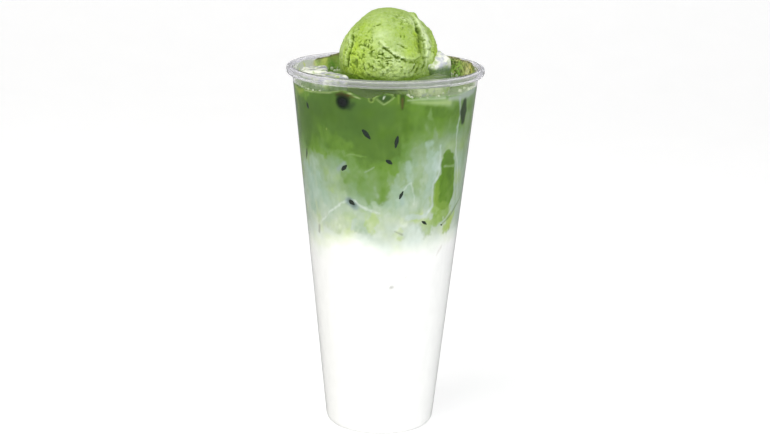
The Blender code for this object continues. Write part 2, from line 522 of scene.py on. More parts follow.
@dataclass(frozen=True)
class Effect:
    """A shader node group that several materials share.

    Each makes grains of one size: Mask is a value from 0 to 1 for colour and gloss, and Height is
    a relief in metres for a Bump node.
    """

    name: str
    texture: Texture

    def tree(self) -> bpy.types.NodeTree:
        """Returns the group's tree, made once."""
        made = bpy.data.node_groups.get(self.name)
        if made is not None:
            return made
        made = bpy.data.node_groups.new(self.name, "ShaderNodeTree")
        for name in ("Vector", "Size", "Depth", "Low", "High"):
            kind = "NodeSocketVector" if name == "Vector" else "NodeSocketFloat"
            made.interface.new_socket(name, in_out="INPUT", socket_type=kind)
        for name in ("Mask", "Height"):
            made.interface.new_socket(name, in_out="OUTPUT", socket_type="NodeSocketFloat")
        board = Board(made)
        given = made.nodes.new("NodeGroupInput").outputs
        read = {"Vector": given["Vector"], "Scale": board.math("DIVIDE", 1.0, given["Size"])}
        if self.texture is Texture.NOISE:
            grain = board.node("TexNoise", read | {"Detail": 4.0, "Roughness": 0.55}).outputs["Fac"]
        else:
            grain = board.node("TexVoronoi", read, feature="SMOOTH_F1").outputs["Distance"]
        held = board.range(grain, given["Low"], given["High"])
        height = board.math("MULTIPLY", held, given["Depth"])
        board.fill(made.nodes.new("NodeGroupOutput"), {"Mask": held, "Height": height})
        return made

    def on(self, board: Board, vector: object, size: float, depth: float = 0.0,
           low: float = 0.3, high: float = 0.7) -> bpy.types.bpy_prop_collection:
        """Puts the effect in a material.

        Args:
            board: The material's board.
            vector: The coordinates that it reads.
            size: The grains' size in millimetres.
            depth: The relief's depth in millimetres.
            low: The texture's value that gives 0.
            high: The texture's value that gives 1.

        Returns:
            Its outputs, Mask and Height.
        """
        node = board.tree.nodes.new("ShaderNodeGroup")
        node.node_tree = self.tree()
        inputs = {"Vector": vector, "Size": size * MM, "Depth": depth * MM, "Low": low, "High": high}
        return board.fill(node, inputs).outputs


GRAIN = Effect("fine_grain", Texture.NOISE)
CRUMB = Effect("cell_crumb", Texture.CELLS)


class Finish:
    """The base of every finish: makes its material once, by name."""

    name = "finish"

    def material(self) -> bpy.types.Material:
        """Returns the finish's material."""
        made = bpy.data.materials.get(self.name)
        if made is None:
            made = bpy.data.materials.new(self.name)
            made.use_nodes = True
            made.node_tree.nodes.clear()
            board = Board(made.node_tree)
            board.node("OutputMaterial", {"Surface": self.shader(board)})
        return made

    def shader(self, board: Board) -> object:
        """Builds the finish and returns its shader."""
        raise NotImplementedError

    def dress(self, piece: Piece) -> None:
        """Gives a piece this finish alone."""
        piece.data.materials.clear()
        piece.data.materials.append(self.material())

    def dress_part(self, piece: Piece, chosen: Array) -> None:
        """Gives the chosen faces of a dressed piece this finish."""
        piece.data.materials.append(self.material())
        piece.data.polygons.foreach_set("material_index", chosen.astype(np.int32))


@dataclass(frozen=True)
class ClearPlastic(Finish):
    """Thin clear plastic, or the milky plastic of the lip."""

    name: str = "clear_plastic_wall"
    roughness: float = 0.03
    haze: float = 0.02
    clearness: float = 1.0
    tint: tuple[float, float, float, float] = (0.985, 0.99, 0.985, 1.0)
    ripple: float = 0.02
    bend: float = 1.40  # the index of refraction

    def shader(self, board: Board) -> object:
        """Builds the finish and returns its shader."""
        haze = GRAIN.on(board, board.place(), size=6.0)["Mask"]
        ripple = GRAIN.on(board, board.place(), size=9.0, depth=self.ripple, low=0.2, high=0.8)["Height"]
        rough = board.math("ADD", board.math("MULTIPLY", haze, self.haze), self.roughness)
        return board.see_through({
            "Base Color": self.tint, "Roughness": rough, "IOR": self.bend,
            "Transmission Weight": self.clearness, "Normal": board.bump(ripple, 0.4),
        })


WALL_PLASTIC = ClearPlastic()
LIP_PLASTIC = ClearPlastic("milky_plastic_lip", 0.12, 0.04, 0.87, (0.81, 0.805, 0.84, 1.0), 0.0, 1.2)


@dataclass(frozen=True)
class DrinkSide(Finish):
    """The drink where it lies against the cup's wall: its colour is painted, with a fine swirl."""

    name: str = "drink_at_wall"
    swirl: float = 0.02

    def shader(self, board: Board) -> object:
        """Builds the finish and returns its shader."""
        wisps = GRAIN.on(board, board.upright(0.45), size=3.2)["Mask"]
        lift = board.math("ADD", board.math("MULTIPLY", wisps, 2.0 * self.swirl), 1.0 - self.swirl)
        lighter = board.node("CombineXYZ", {0: lift, 1: lift, 2: lift}).outputs[0]
        colour = board.blend(1.0, board.paint(), lighter, "MULTIPLY")
        return board.surface({"Base Color": colour, "Roughness": 0.55, "Specular IOR Level": 0.0})


@dataclass(frozen=True)
class DrinkTop(Finish):
    """The drink's open surface: wet, with fine froth."""

    name: str = "drink_surface"
    between: tuple[float, float, float, float] = (0.9, 0.95, 0.85, 1.0)  # what shades its froth

    def shader(self, board: Board) -> object:
        """Builds the finish and returns its shader."""
        froth = CRUMB.on(board, board.place(), size=0.9, depth=0.12, low=0.1, high=0.6)
        colour = board.blend(froth["Mask"], board.paint(), self.between, "MULTIPLY")
        return board.surface({"Base Color": colour, "Roughness": 0.16, "IOR": 1.34,
                              "Normal": board.bump(froth["Height"], 0.35)})


@dataclass(frozen=True)
class IceCream(Finish):
    """Scooped ice cream: matt and grainy, with painted shade in its folds and cracks, paler places that are
    partly painted highlight, and wet at its foot.
    """

    name: str = "green_tea_ice_cream"
    gain: float = 0.72
    # How much brighter the pale places are drawn, painted highlight among them
    pale_and_highlight_gain: float = 1.3
    body: Colour = (178, 210, 102)
    cloudy: Colour = (172, 204, 92)
    dull: Colour = (158, 190, 76)
    # Pale tone, which also paints highlight on raised edges and lit faces
    pale_and_highlight: Colour = (222, 240, 184)
    ripe: Colour = (196, 231, 54)
    # Painted shade: in folds, and darker in deep cracks
    fold: Colour = (130, 158, 56)
    deep: Colour = (100, 130, 44)
    wet: Colour = (132, 166, 58)

    def shader(self, board: Board) -> object:
        """Builds the finish and returns its shader."""
        place = board.place()
        hollow_shade = board.value("hollow_shade")
        soaked = board.value("soaked")
        speck = GRAIN.on(board, place, size=0.9, depth=0.10, low=0.32, high=0.68)
        cloud = GRAIN.on(board, place, size=6.0)
        tone = GRAIN.on(board, place, size=1.7, low=0.45, high=0.62)
        icy = CRUMB.on(board, place, size=1.5, depth=0.10, low=0.1, high=0.75)
        colour = ink(self.body, self.gain)
        for share, tone_over, lift in (
            (cloud["Mask"], self.cloudy, 1.0),
            (board.math("MULTIPLY", tone["Mask"], 0.7), self.dull, 1.0),
            (board.math("MULTIPLY", speck["Mask"], 0.3), self.pale_and_highlight, 1.0),
            (board.math("MULTIPLY", board.value("ripe"), 0.85), self.ripe, 1.0),
            # Pale places: pale tone and painted highlight
            (board.value("pale"), self.pale_and_highlight, self.pale_and_highlight_gain),
            # Painted shade in folds and cracks
            (board.range(hollow_shade, 0.05, 0.55, 0.0, 0.9), self.fold, 1.0),
            (board.range(hollow_shade, 0.5, 1.0), self.deep, 1.0),
            (soaked, self.wet, 1.0),
        ):
            colour = board.blend(share, colour, ink(tone_over, lift * self.gain))
        relief = board.math("ADD", speck["Height"], icy["Height"])
        return board.surface({
            "Base Color": colour, "Roughness": board.range(soaked, 0.0, 1.0, 0.52, 0.2), "IOR": 1.2,
            "Normal": board.bump(relief, 0.8), "Subsurface Weight": 0.25,
            "Subsurface Radius": (1.0, 1.0, 0.5), "Subsurface Scale": 1.2 * MM,
        })


@dataclass(frozen=True)
class Ice(Finish):
    """Ice from the freezer: glossy, cloudy white inside, and green where the tea shows through."""

    name: str = "cloudy_ice"
    clear: Colour = (174, 192, 122)
    cloud: Colour = (250, 251, 240)
    shade: Colour = (172, 174, 190)
    wet: Colour = (122, 154, 84)
    clearness: float = 0.12

    def shader(self, board: Board) -> object:
        """Builds the finish and returns its shader."""
        haze = GRAIN.on(board, board.upright(0.5), size=3.0, low=0.36, high=0.56)["Mask"]
        grey = GRAIN.on(board, board.place(), size=3.6, low=0.48, high=0.60)["Mask"]
        melt = GRAIN.on(board, board.place(), size=2.4, depth=0.7, low=0.25, high=0.75)["Height"]
        colour = ink(self.clear)
        for share, over in ((haze, self.cloud), (grey, self.shade), (board.value("soaked"), self.wet)):
            colour = board.blend(share, colour, ink(over))
        return board.see_through({
            "Base Color": colour, "Roughness": 0.09, "IOR": 1.31,
            "Transmission Weight": self.clearness, "Normal": board.bump(melt, 0.7),
        })


@dataclass(frozen=True)
class Leaf(Finish):
    """A dark wet bit of tea leaf."""

    name: str = "tea_leaf"
    colour: Colour = (18, 28, 24)
    vein: Colour = (40, 54, 40)

    def shader(self, board: Board) -> object:
        """Builds the finish and returns its shader."""
        vein = GRAIN.on(board, board.place(), size=0.6, depth=0.05, low=0.35, high=0.7)
        colour = board.blend(vein["Mask"], ink(self.colour), ink(self.vein))
        return board.surface({"Base Color": colour, "Roughness": 0.5, "Specular IOR Level": 0.2,
                              "Normal": board.bump(vein["Height"], 0.4)})


@dataclass(frozen=True)
class Froth(Finish):
    """Small bubbles of foam."""

    name: str = "froth"
    colour: Colour = (214, 224, 190)
    pale: Colour = (240, 244, 230)

    def shader(self, board: Board) -> object:
        """Builds the finish and returns its shader."""
        tone = GRAIN.on(board, board.place(), size=1.4)["Mask"]
        colour = board.blend(tone, ink(self.colour), ink(self.pale))
        return board.see_through({"Base Color": colour, "Roughness": 0.06, "IOR": 1.25,
                                  "Transmission Weight": 0.6})


@dataclass(frozen=True)
class Film(Finish):
    """The film that the tea leaves on the cup's wall above it: painted, and speckled with froth."""

    name: str = "tea_film"
    dark: Colour = (58, 74, 30)
    pale: Colour = (206, 200, 160)

    def shader(self, board: Board) -> object:
        """Builds the finish and returns its shader."""
        mottle = GRAIN.on(board, board.place(), size=1.3, low=0.44, high=0.62)["Mask"]
        speck = CRUMB.on(board, board.place(), size=0.9, depth=0.1, low=0.14, high=0.42)
        froth = board.value("froth")
        shaded = board.math("MULTIPLY", mottle, board.range(froth, 0.05, 0.85, 0.04, 0.85))
        spots = board.math("MULTIPLY", board.math("SUBTRACT", 1.0, speck["Mask"]), froth)
        colour = board.blend(shaded, board.paint(), ink(self.dark))
        return board.surface({
            "Base Color": board.blend(spots, colour, ink(self.pale)), "Roughness": 0.3, "IOR": 1.34,
            "Normal": board.bump(speck["Height"], 0.4), "Subsurface Weight": 0.7,
            "Subsurface Radius": (1.0, 1.0, 0.9), "Subsurface Scale": 0.5 * MM,
        })


@dataclass(frozen=True)
class Paper(Finish):
    """The plain pale floor and the sweep behind it."""

    name: str = "pale_paper"
    greys: Span = (0.60, 0.62)
    glow: float = 0.52

    def shader(self, board: Board) -> object:
        """Builds the finish and returns its shader."""
        tooth = GRAIN.on(board, board.place(), size=40.0, low=0.2, high=0.8)["Mask"]
        greys = [(grey, grey, grey, 1.0) for grey in self.greys]
        return board.surface({
            "Base Color": board.blend(tooth, *greys), "Roughness": 0.9, "Specular IOR Level": 0.0,
            "Emission Color": WHITE, "Emission Strength": self.glow,
        })


# ------------ The cup ------------


@dataclass(frozen=True)
class CupForm:
    """The cup's measures, which what fills it shares."""

    height: float = 178.0
    rim_radius: float = 47.5
    lip_height: float = 4.1
    wall: float = 0.9
    base_radius: float = 25.8
    taper: float = 6.17
    base_corner: float = 5.0
    foot_inner_radius: float = 14.5
    foot_recess: float = 1.2
    lip_end_angle: float = -105.0
    hub: float = 4.0  # the radius of the first ring round the axis

    def outside(self, height: Array | float, inset: float = 0.0) -> Array | float:
        """Returns the wall's outer radius at a height, moved in by an inset across the wall."""
        lean = math.radians(self.taper)
        return self.base_radius + height * math.tan(lean) - inset / math.cos(lean)

    def inside(self, height: Array | float, outset: float = 0.0) -> Array | float:
        """Returns the wall's inner radius at a height, moved out by an outset."""
        return self.outside(height, self.wall - outset)

    def curl(self) -> tuple[float, float, float]:
        """Returns the lip's roundness: its tube's half width, and its middle's radius and height."""
        curl = (self.rim_radius - self.wall - self.inside(self.height - self.lip_height / 2)) / 2
        return curl, self.rim_radius - self.wall / 2 - curl, self.height - self.wall / 2 - curl

    def inner_face(self, height: Array) -> Array:
        """Returns the radius of the cup's inner face, up the wall and over the lip's round top."""
        curl, centre, top = self.curl()
        thick = curl + self.wall / 2
        over = centre - np.sqrt(np.maximum(thick**2 - np.maximum(height - top, 0.0) ** 2, 0.0))
        return np.where(height < top, self.inside(height), over)

    def arc(self, centre: Span, radius: float, start: float, end: float, steps: int) -> Profile:
        """Returns points of an arc in the (radius, height) plane, with both its ends."""
        angles = np.radians(np.linspace(start, end, steps + 1))
        return [(centre[0] + radius * math.cos(a), centre[1] + radius * math.sin(a)) for a in angles]

    def base(self, inset: float, steps: int) -> Profile:
        """Returns the underside's half profile from near the axis to the wall, moved in by an inset."""
        recess = self.foot_inner_radius - self.foot_recess
        centre = (self.outside(self.base_corner, self.base_corner), self.base_corner)
        corner = self.arc(centre, self.base_corner - inset, -90.0, -self.taper, steps)
        return [(self.hub, self.foot_recess + inset), (recess, self.foot_recess + inset),
                (self.foot_inner_radius, inset), *corner]

    def lip(self, steps: int) -> Profile:
        """Returns the lip's half profile: under the curl, round its end and back over the top."""
        curl, centre, upper = self.curl()
        top = (centre, upper)
        low = (centre, self.height - self.lip_height + self.wall / 2 + curl)
        thin = curl - self.wall / 2
        thick = curl + self.wall / 2
        end = self.lip_end_angle
        under = self.arc(top, thin, 180.0, 0.0, steps) + self.arc(low, thin, 0.0, end, steps // 2)
        over = self.arc(low, thick, end, 0.0, steps // 2) + self.arc(top, thick, 0.0, 180.0, steps + 4)
        return under + over


@dataclass(frozen=True)
class Cup:
    """The clear cup, in one wall from its foot to its curled lip."""

    form: CupForm
    segments: int = 192
    corner_steps: int = 8
    lip_steps: int = 10
    sharp: float = 35.0
    lip_margin: float = 0.2  # how far below the lip its milky plastic starts

    def build(self) -> Piece:
        """Makes the cup and returns it."""
        outer = self.form.base(0.0, self.corner_steps)
        inner = self.form.base(self.form.wall, self.corner_steps)
        profile = outer + self.form.lip(self.lip_steps) + inner[::-1]
        cup = Lathe.along("cup_wall", self.segments, profile).close()
        shade(cup, self.sharp)
        WALL_PLASTIC.dress(cup)
        lip_starts = self.form.height - self.form.lip_height - self.lip_margin
        LIP_PLASTIC.dress_part(cup, face_centres(cup)[:, 2] > lip_starts)
        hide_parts("cup")
        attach(cup, BODY)
        return cup


# ------------ The drink's colours ------------


@dataclass(frozen=True)
class Swirl:
    """What the drink's turning does at each place."""

    drift: Array  # how far the place is moved, one row of two
    fringe: Array  # how far a plume's edge moves in or out
    cloud: Array  # how thick the plumes are, from 0 to 1


@dataclass(frozen=True)
class Plume:
    """A plume, thread or patch in the drink: (azimuth, height, half width) along its path."""

    milk: float
    path: Path
    warmth: float = 0.0
    strength: float = 1.0
    soft: float = 1.5  # how wide its edge is
    wander: float = 1.0  # how far it follows the drink's turning
    widest_fringe: ClassVar[float] = 2.4
    thinned: ClassVar[float] = 0.35  # what the swirl's cloud takes from it
    dot: ClassVar[float] = 0.01  # the length of a path with one place

    def cover(self, form: CupForm, across: Array, heights: Array, swirl: Swirl) -> Array:
        """Works out how much of the plume covers each place.

        Args:
            form: The cup.
            across: Each place's azimuth in degrees.
            heights: Each place's height.
            swirl: What the drink's turning does at each place.

        Returns:
            One share from 0 to 1 for each place.
        """
        middle = float(np.mean([place[0] for place in self.path]))
        turn = (across - middle + 180.0) % 360.0 - 180.0
        flat = np.stack([np.radians(turn) * form.inside(heights), heights], axis=1)
        flat += self.wander * swirl.drift
        ends = [
            np.array([math.radians(azimuth - middle) * form.inside(height), height, width])
            for azimuth, height, width in self.path
        ]
        if len(ends) == 1:
            ends.append(ends[0] + np.array([self.dot, 0.0, 0.0]))
        best = np.full(len(flat), np.inf)
        for start, end in zip(ends, ends[1:]):
            run = end[:2] - start[:2]
            part = np.clip((flat - start[:2]) @ run / float(run @ run), 0.0, 1.0)
            away = lengths(flat - start[:2] - part[:, None] * run)
            best = np.minimum(best, away - (start[2] + part * (end[2] - start[2])))
        best += self.wander * min(self.soft, self.widest_fringe) * swirl.fringe
        thick = 1.0 - self.thinned * min(self.wander, 1.0) * swirl.cloud
        return self.strength * thick * (1.0 - smooth(best / self.soft + 0.5))


@dataclass(frozen=True)
class Stain:
    """A mark of one plain colour that keeps still in the swirl, such as a bubble's edge."""

    colour: Colour
    path: Path
    strength: float = 1.0
    soft: float = 0.8

    def plume(self) -> Plume:
        """Returns the mark's form."""
        return Plume(0.0, self.path, 0.0, self.strength, self.soft, 0.0)


# How the milk's share colours the drink, from plain tea to plain milk
TEA_TO_MILK = (
    (0.00, (86, 119, 52)), (0.10, (96, 131, 56)), (0.20, (111, 149, 66)), (0.32, (128, 163, 91)),
    (0.45, (146, 174, 123)), (0.58, (164, 189, 151)), (0.70, (179, 202, 169)), (0.80, (195, 214, 186)),
    (0.88, (212, 226, 204)), (0.94, (230, 239, 225)), (0.98, (245, 249, 240)), (1.00, (255, 255, 253)),
)
WARM_SHIFT = (-0.01, 0.035, -0.36)  # what full warmth adds to each channel, as a share of it
COOL_SHIFT = (-0.03, 0.005, 0.09)
UPRIGHT = np.array((1.0, 1.0, 0.7))  # draws the noise out upwards

# How much milk the drink holds: by azimuth, the share at each height
COLUMNS: dict[int, Path] = {
    -60: ((172, 0.15), (160, 0.05), (150, 0.10), (143, 0.16), (139, 0.46), (132, 0.69), (125, 0.77),
          (118, 0.82), (113, 0.86), (107, 0.87), (103, 0.90), (98, 0.95), (93, 0.98), (86, 1.0)),
    -38: ((172, 0.06), (160, 0.03), (150, 0.12), (144, 0.19), (139, 0.42), (132, 0.55), (125, 0.66),
          (118, 0.76), (113, 0.80), (107, 0.85), (103, 0.90), (98, 0.96), (94, 1.0)),
    -12: ((172, 0.10), (164, 0.03), (156, 0.03), (150, 0.03), (142, 0.07), (138, 0.16), (134, 0.26),
          (128, 0.31), (122, 0.42), (117, 0.60), (113, 0.77), (109, 0.84), (105, 0.88), (101, 0.945),
          (98, 0.985), (95, 1.0)),
    6: ((172, 0.15), (164, 0.08), (156, 0.10), (150, 0.10), (143, 0.14), (137, 0.30), (130, 0.45),
        (124, 0.52), (118, 0.66), (113, 0.80), (109, 0.85), (105, 0.87), (101, 0.91), (97, 0.955),
        (91, 1.0)),
    26: ((172, 0.35), (166, 0.25), (162, 0.20), (154, 0.24), (149, 0.36), (144, 0.54), (139, 0.60),
         (134, 0.67), (128, 0.70), (120, 0.71), (114, 0.81), (109, 0.86), (105, 0.90), (99, 0.945),
         (94, 0.99), (90, 1.0)),
    44: ((172, 0.35), (166, 0.30), (162, 0.15), (156, 0.24), (149, 0.44), (144, 0.62), (136, 0.67),
         (126, 0.69), (116, 0.73), (110, 0.80), (104, 0.89), (99, 0.945), (95, 0.98), (91, 1.0)),
    66: ((172, 0.60), (165, 0.40), (160, 0.28), (152, 0.34), (144, 0.48), (134, 0.66), (122, 0.71),
         (112, 0.78), (106, 0.84), (100, 0.95), (94, 1.0)),
    110: ((172, 0.12), (158, 0.08), (146, 0.18), (138, 0.36), (128, 0.52), (118, 0.66), (110, 0.80),
          (103, 0.92), (95, 1.0)),
    150: ((172, 0.10), (160, 0.04), (150, 0.10), (140, 0.24), (130, 0.46), (120, 0.62), (110, 0.80),
          (102, 0.94), (94, 1.0)),
    195: ((172, 0.12), (162, 0.06), (148, 0.12), (136, 0.34), (124, 0.58), (114, 0.72), (107, 0.86),
          (100, 0.96), (93, 1.0)),
    240: ((172, 0.10), (160, 0.04), (150, 0.08), (142, 0.20), (132, 0.40), (122, 0.60), (112, 0.78),
          (104, 0.90), (96, 1.0)),
    276: ((172, 0.14), (160, 0.06), (150, 0.10), (142, 0.28), (132, 0.50), (122, 0.66), (112, 0.80),
          (103, 0.90), (95, 0.98), (90, 1.0)),
}

PLUMES = (
    # Upper tea; the first plume, lighter at the top left, is a painted sheen
    Plume(0.28, ((-76, 167, 2.5), (-64, 168, 2.4), (-52, 169, 1.2)), 0.6, 0.9, 2.0),
    Plume(0.05, ((-66, 158, 4), (-60, 152, 4)), 0.2, 0.6, 4.0),
    Plume(0.22, ((-44, 150, 3), (-30, 146, 4), (-22, 147, 2)), 0.35, 0.7, 3.0),
    Plume(0.20, ((16, 165, 2.5), (24, 163, 3), (32, 163, 2)), 0.5, 0.8, 2.0),
    Plume(0.12, ((37, 163, 3), (44, 161, 3)), 0.3, 0.8, 2.5),
    Plume(0.46, ((30, 163, 0.4), (33, 156, 0.7), (34, 149, 1.0)), -0.2, 0.8, 1.4),
    Plume(0.40, ((26, 156, 1.0), (29, 151, 1.4)), -0.2, 0.6, 2.0),
    # The boundary of the deep tea in the middle, and its lobe to the right
    Plume(0.08, ((-14, 147, 5), (0, 146, 5), (7, 144, 3.6), (9, 141.5, 1.0)), 0.1, 0.9, 1.6, 1.4),
    Plume(0.30, ((12, 149, 1.4), (12.5, 141, 1.6)), 0.1, 0.6, 2.0),
    Plume(0.36, ((-32, 142.5, 1.4), (-27, 141.5, 1.2)), -0.2, 0.7, 1.6),
    Plume(0.50, ((-21, 127, 2.0), (-20, 122, 2.0)), -0.6, 0.6, 2.2),
    Plume(0.40, ((-27, 140.5, 0.3), (-20, 141.5, 0.4), (-11, 141, 0.3)), 0.2, 0.7, 0.8, 0.6),
    # The tongue below it
    Plume(0.26, ((-22, 136, 4), (-24, 131, 3)), -0.1, 0.8, 2.4),
    Plume(0.20, ((-53, 142.0, 1.6), (-46, 141.0, 2.0), (-40, 140.0, 1.2)), 0.5, 0.8, 1.8),
    Plume(0.25, ((4, 136, 3), (8, 133, 2.5)), 0.5, 0.9, 2.2),
    Plume(0.22, ((0, 137, 2.5), (0, 128, 3.6), (1, 122, 2.6), (-1, 119.5, 1.2)), 0.30, 0.85, 2.2),
    Plume(0.30, ((-9, 133, 3), (-8, 126, 3.4), (-7, 120, 3)), -0.1, 0.7, 2.6),
    Plume(0.40, ((-16, 134, 1.6), (-11, 133, 1.4)), 0.0, 0.6, 2.0),
    Plume(0.58, ((-13, 134, 0.2), (-9, 135.2, 0.35), (-6, 136.2, 0.2)), 0.0, 0.8, 0.6, 0.5),
    # Milky veils on the left
    Plume(0.70, ((-60, 131, 1.5), (-58, 124, 3.0), (-55, 117, 2.6)), -0.9, 0.7, 2.6),
    Plume(0.64, ((-37, 131, 0.5), (-36, 124, 0.8), (-36, 118, 0.8)), -0.1, 0.7, 1.4),
    Plume(0.52, ((-43, 135, 2), (-42, 128, 1.6)), 0.5, 0.6, 2.0),
    Plume(0.72, ((-30, 121, 3), (-26, 114, 3.5)), 0.15, 0.6, 3.0),
    Plume(0.78, ((-60, 112, 3), (-54, 108, 3)), 0.4, 0.5, 3.0),
    # Milky veils on the right, with greener streaks between them
    Plume(0.66, ((9, 131, 1.5), (9, 124, 2.2), (11, 118, 2.0)), -0.6, 0.8, 2.0),
    Plume(0.72, ((16, 138, 1.4), (17, 131, 2.0), (17, 125, 1.2)), -0.7, 0.8, 2.0),
    Plume(0.52, ((24, 138, 1.5), (25, 131, 1.8), (25, 124, 1.6)), 0.3, 0.7, 2.0),
    Plume(0.74, ((31, 146, 2.0), (34, 138, 2.6), (34, 129, 2.6), (31, 121, 1.6)), -0.7, 0.8, 2.2),
    Plume(0.80, ((13, 120, 1.4), (15, 114, 1.6)), -0.3, 0.7, 2.0),
    Plume(0.62, ((27, 121, 1.4), (27, 115, 1.6)), 0.2, 0.5, 2.0),
    # The green window in the milk
    Plume(0.17, ((48, 140.6, 2.2), (49.5, 137.6, 3.4)), 0.35, 1.0, 0.8, 0.4),
    Plume(0.14, ((45.4, 140.0, 1.4), (52.4, 139.4, 1.6)), 0.3, 1.0, 0.8, 0.3),
    Plume(0.14, ((48.8, 135.5, 4.8), (50.0, 132, 4.7)), 0.3, 1.0, 0.9, 0.4),
    Plume(0.16, ((50.6, 131, 4.4), (48.8, 126, 6.4), (49.6, 121, 6.6), (49.8, 118.8, 5.4)),
          0.7, 1.0, 0.9, 0.4),
    Plume(0.50, ((45, 134.9, 0.4), (55, 134.2, 0.5)), 0.0, 0.9, 0.7, 0.4),
    Plume(0.46, ((40.6, 126, 1.8), (41, 120, 2.6), (42.6, 116, 2.8)), 1.0, 0.85, 2.2),
    Plume(0.42, ((51, 112.6, 4.4), (45, 111.0, 3.0)), 1.0, 0.9, 1.8),
    Plume(0.64, ((44, 108.2, 2.2), (36, 108.4, 1.4)), 0.8, 0.8, 1.8),
    Plume(0.70, ((60, 108, 3.0), (56, 104.5, 3.0)), 1.0, 0.85, 2.4),
    Plume(0.66, ((34, 107, 2.6), (37, 104, 2.4)), 0.6, 0.7, 3.0),
    Plume(0.80, ((37.5, 142, 1.1), (38.4, 133, 1.5), (37.0, 129, 0.9)), -0.8, 0.8, 1.4),
    Plume(0.88, ((40.2, 145, 0.5), (41.2, 133, 0.6), (39.4, 129.4, 0.5), (36.4, 126.6, 0.5),
                 (36.8, 121, 0.5), (38.2, 116, 0.5), (33, 112.4, 0.8), (26.5, 111.8, 1.3),
                 (19, 111.6, 1.4)), -0.6, 0.85, 0.9, 0.5),
    Plume(0.84, ((57, 161, 0.4), (54.5, 153.5, 0.5), (55.5, 146, 0.5), (57, 140, 0.5), (61, 133, 0.4),
                 (64, 126, 0.4), (66, 118.5, 0.4), (60.5, 112.5, 0.35), (54, 109, 0.35),
                 (47.5, 106, 0.3)), -0.3, 0.85, 0.8, 0.5),
    # Cool milk down the left side, and pale places under the tongue
    Plume(0.72, ((-66, 134, 1.4), (-63, 124, 3.0), (-60, 112, 3.0)), -0.9, 0.75, 2.8),
    Plume(0.70, ((-53, 132, 1.4), (-50, 126, 2.4), (-47, 118, 1.6)), -0.9, 0.75, 2.2),
    Plume(0.74, ((-42, 121, 1.6), (-36, 116, 2.2)), -0.2, 0.7, 2.0),
    Plume(0.82, ((-58, 136, 2.0), (-52, 126, 4.0), (-49, 116, 4.0), (-46, 109, 3.0)), -0.5, 0.5, 3.0),
    Plume(0.46, ((-30, 137, 1.6), (-26, 134.5, 1.4)), -0.8, 0.7, 1.8),
    Plume(0.60, ((12, 134, 1.6), (12.5, 130, 1.8)), -0.2, 0.6, 1.8),
    Plume(0.93, ((23, 108, 2.0), (24, 104, 2.6)), -0.4, 0.7, 2.4),
    Plume(0.80, ((-70, 130, 3.0), (-74, 120, 3.0), (-80, 110, 3.0)), -0.5, 0.7, 3.0),
    Plume(0.50, ((12, 138.5, 0.9), (12, 135, 0.9)), -0.1, 0.8, 1.6),
    Plume(0.52, ((20, 145, 0.9), (20, 141, 1.2)), -0.3, 0.6, 1.8),
    Plume(0.86, ((-21, 108.5, 1.2), (-22, 106, 1.0)), -0.7, 0.7, 2.0),
    Plume(0.40, ((-12, 133, 1.0), (-12, 120, 1.0)), -0.8, 0.5, 2.0),
    Plume(0.78, ((34, 121, 1.0), (33, 114, 1.4)), -0.5, 0.6, 2.0),
    # The strip beside the right edge
    Plume(0.48, ((66, 158, 2.0), (68, 146, 2.2), (69, 134, 2.0)), -0.2, 0.6, 2.2),
    Plume(0.72, ((79, 160, 1.4), (79, 145, 1.6), (79, 130, 1.6)), -0.2, 0.7, 1.6),
    # The lace under the tongue, and threads near it
    Plume(0.92, ((-52, 105, 0.3), (-43, 112, 0.4), (-31, 117.5, 0.45), (-22, 119.6, 0.45), (-16, 117, 0.5),
                 (-8.5, 115.2, 0.55), (-2, 113.4, 0.3)), -0.3, 0.9, 0.8, 0.5),
    Plume(0.90, ((15, 125, 0.25), (17, 128, 0.3), (19.5, 128.8, 0.3), (21.5, 125, 0.3), (22, 117, 0.25)),
          -0.3, 0.8, 0.6, 0.5),
    Plume(0.76, ((-17, 112, 2.4), (-14, 107, 3.0)), -0.1, 0.7, 2.4),
    Plume(0.80, ((-5, 117.5, 0.8), (-3, 115.5, 1.0)), 0.0, 0.8, 1.4),
    Plume(0.78, ((-9, 110, 3), (-7, 108, 3)), 0.75, 0.7, 2.6),
    Plume(0.82, ((12, 106, 1.4), (14, 103, 1.0)), 0.8, 0.6, 2.0),
    Plume(0.88, ((2, 110, 2.4), (10, 111, 2.6)), -0.1, 0.6, 2.6),
    Plume(0.84, ((-32, 108, 2.6), (-38, 104, 2.6)), 0.3, 0.5, 2.6),
)


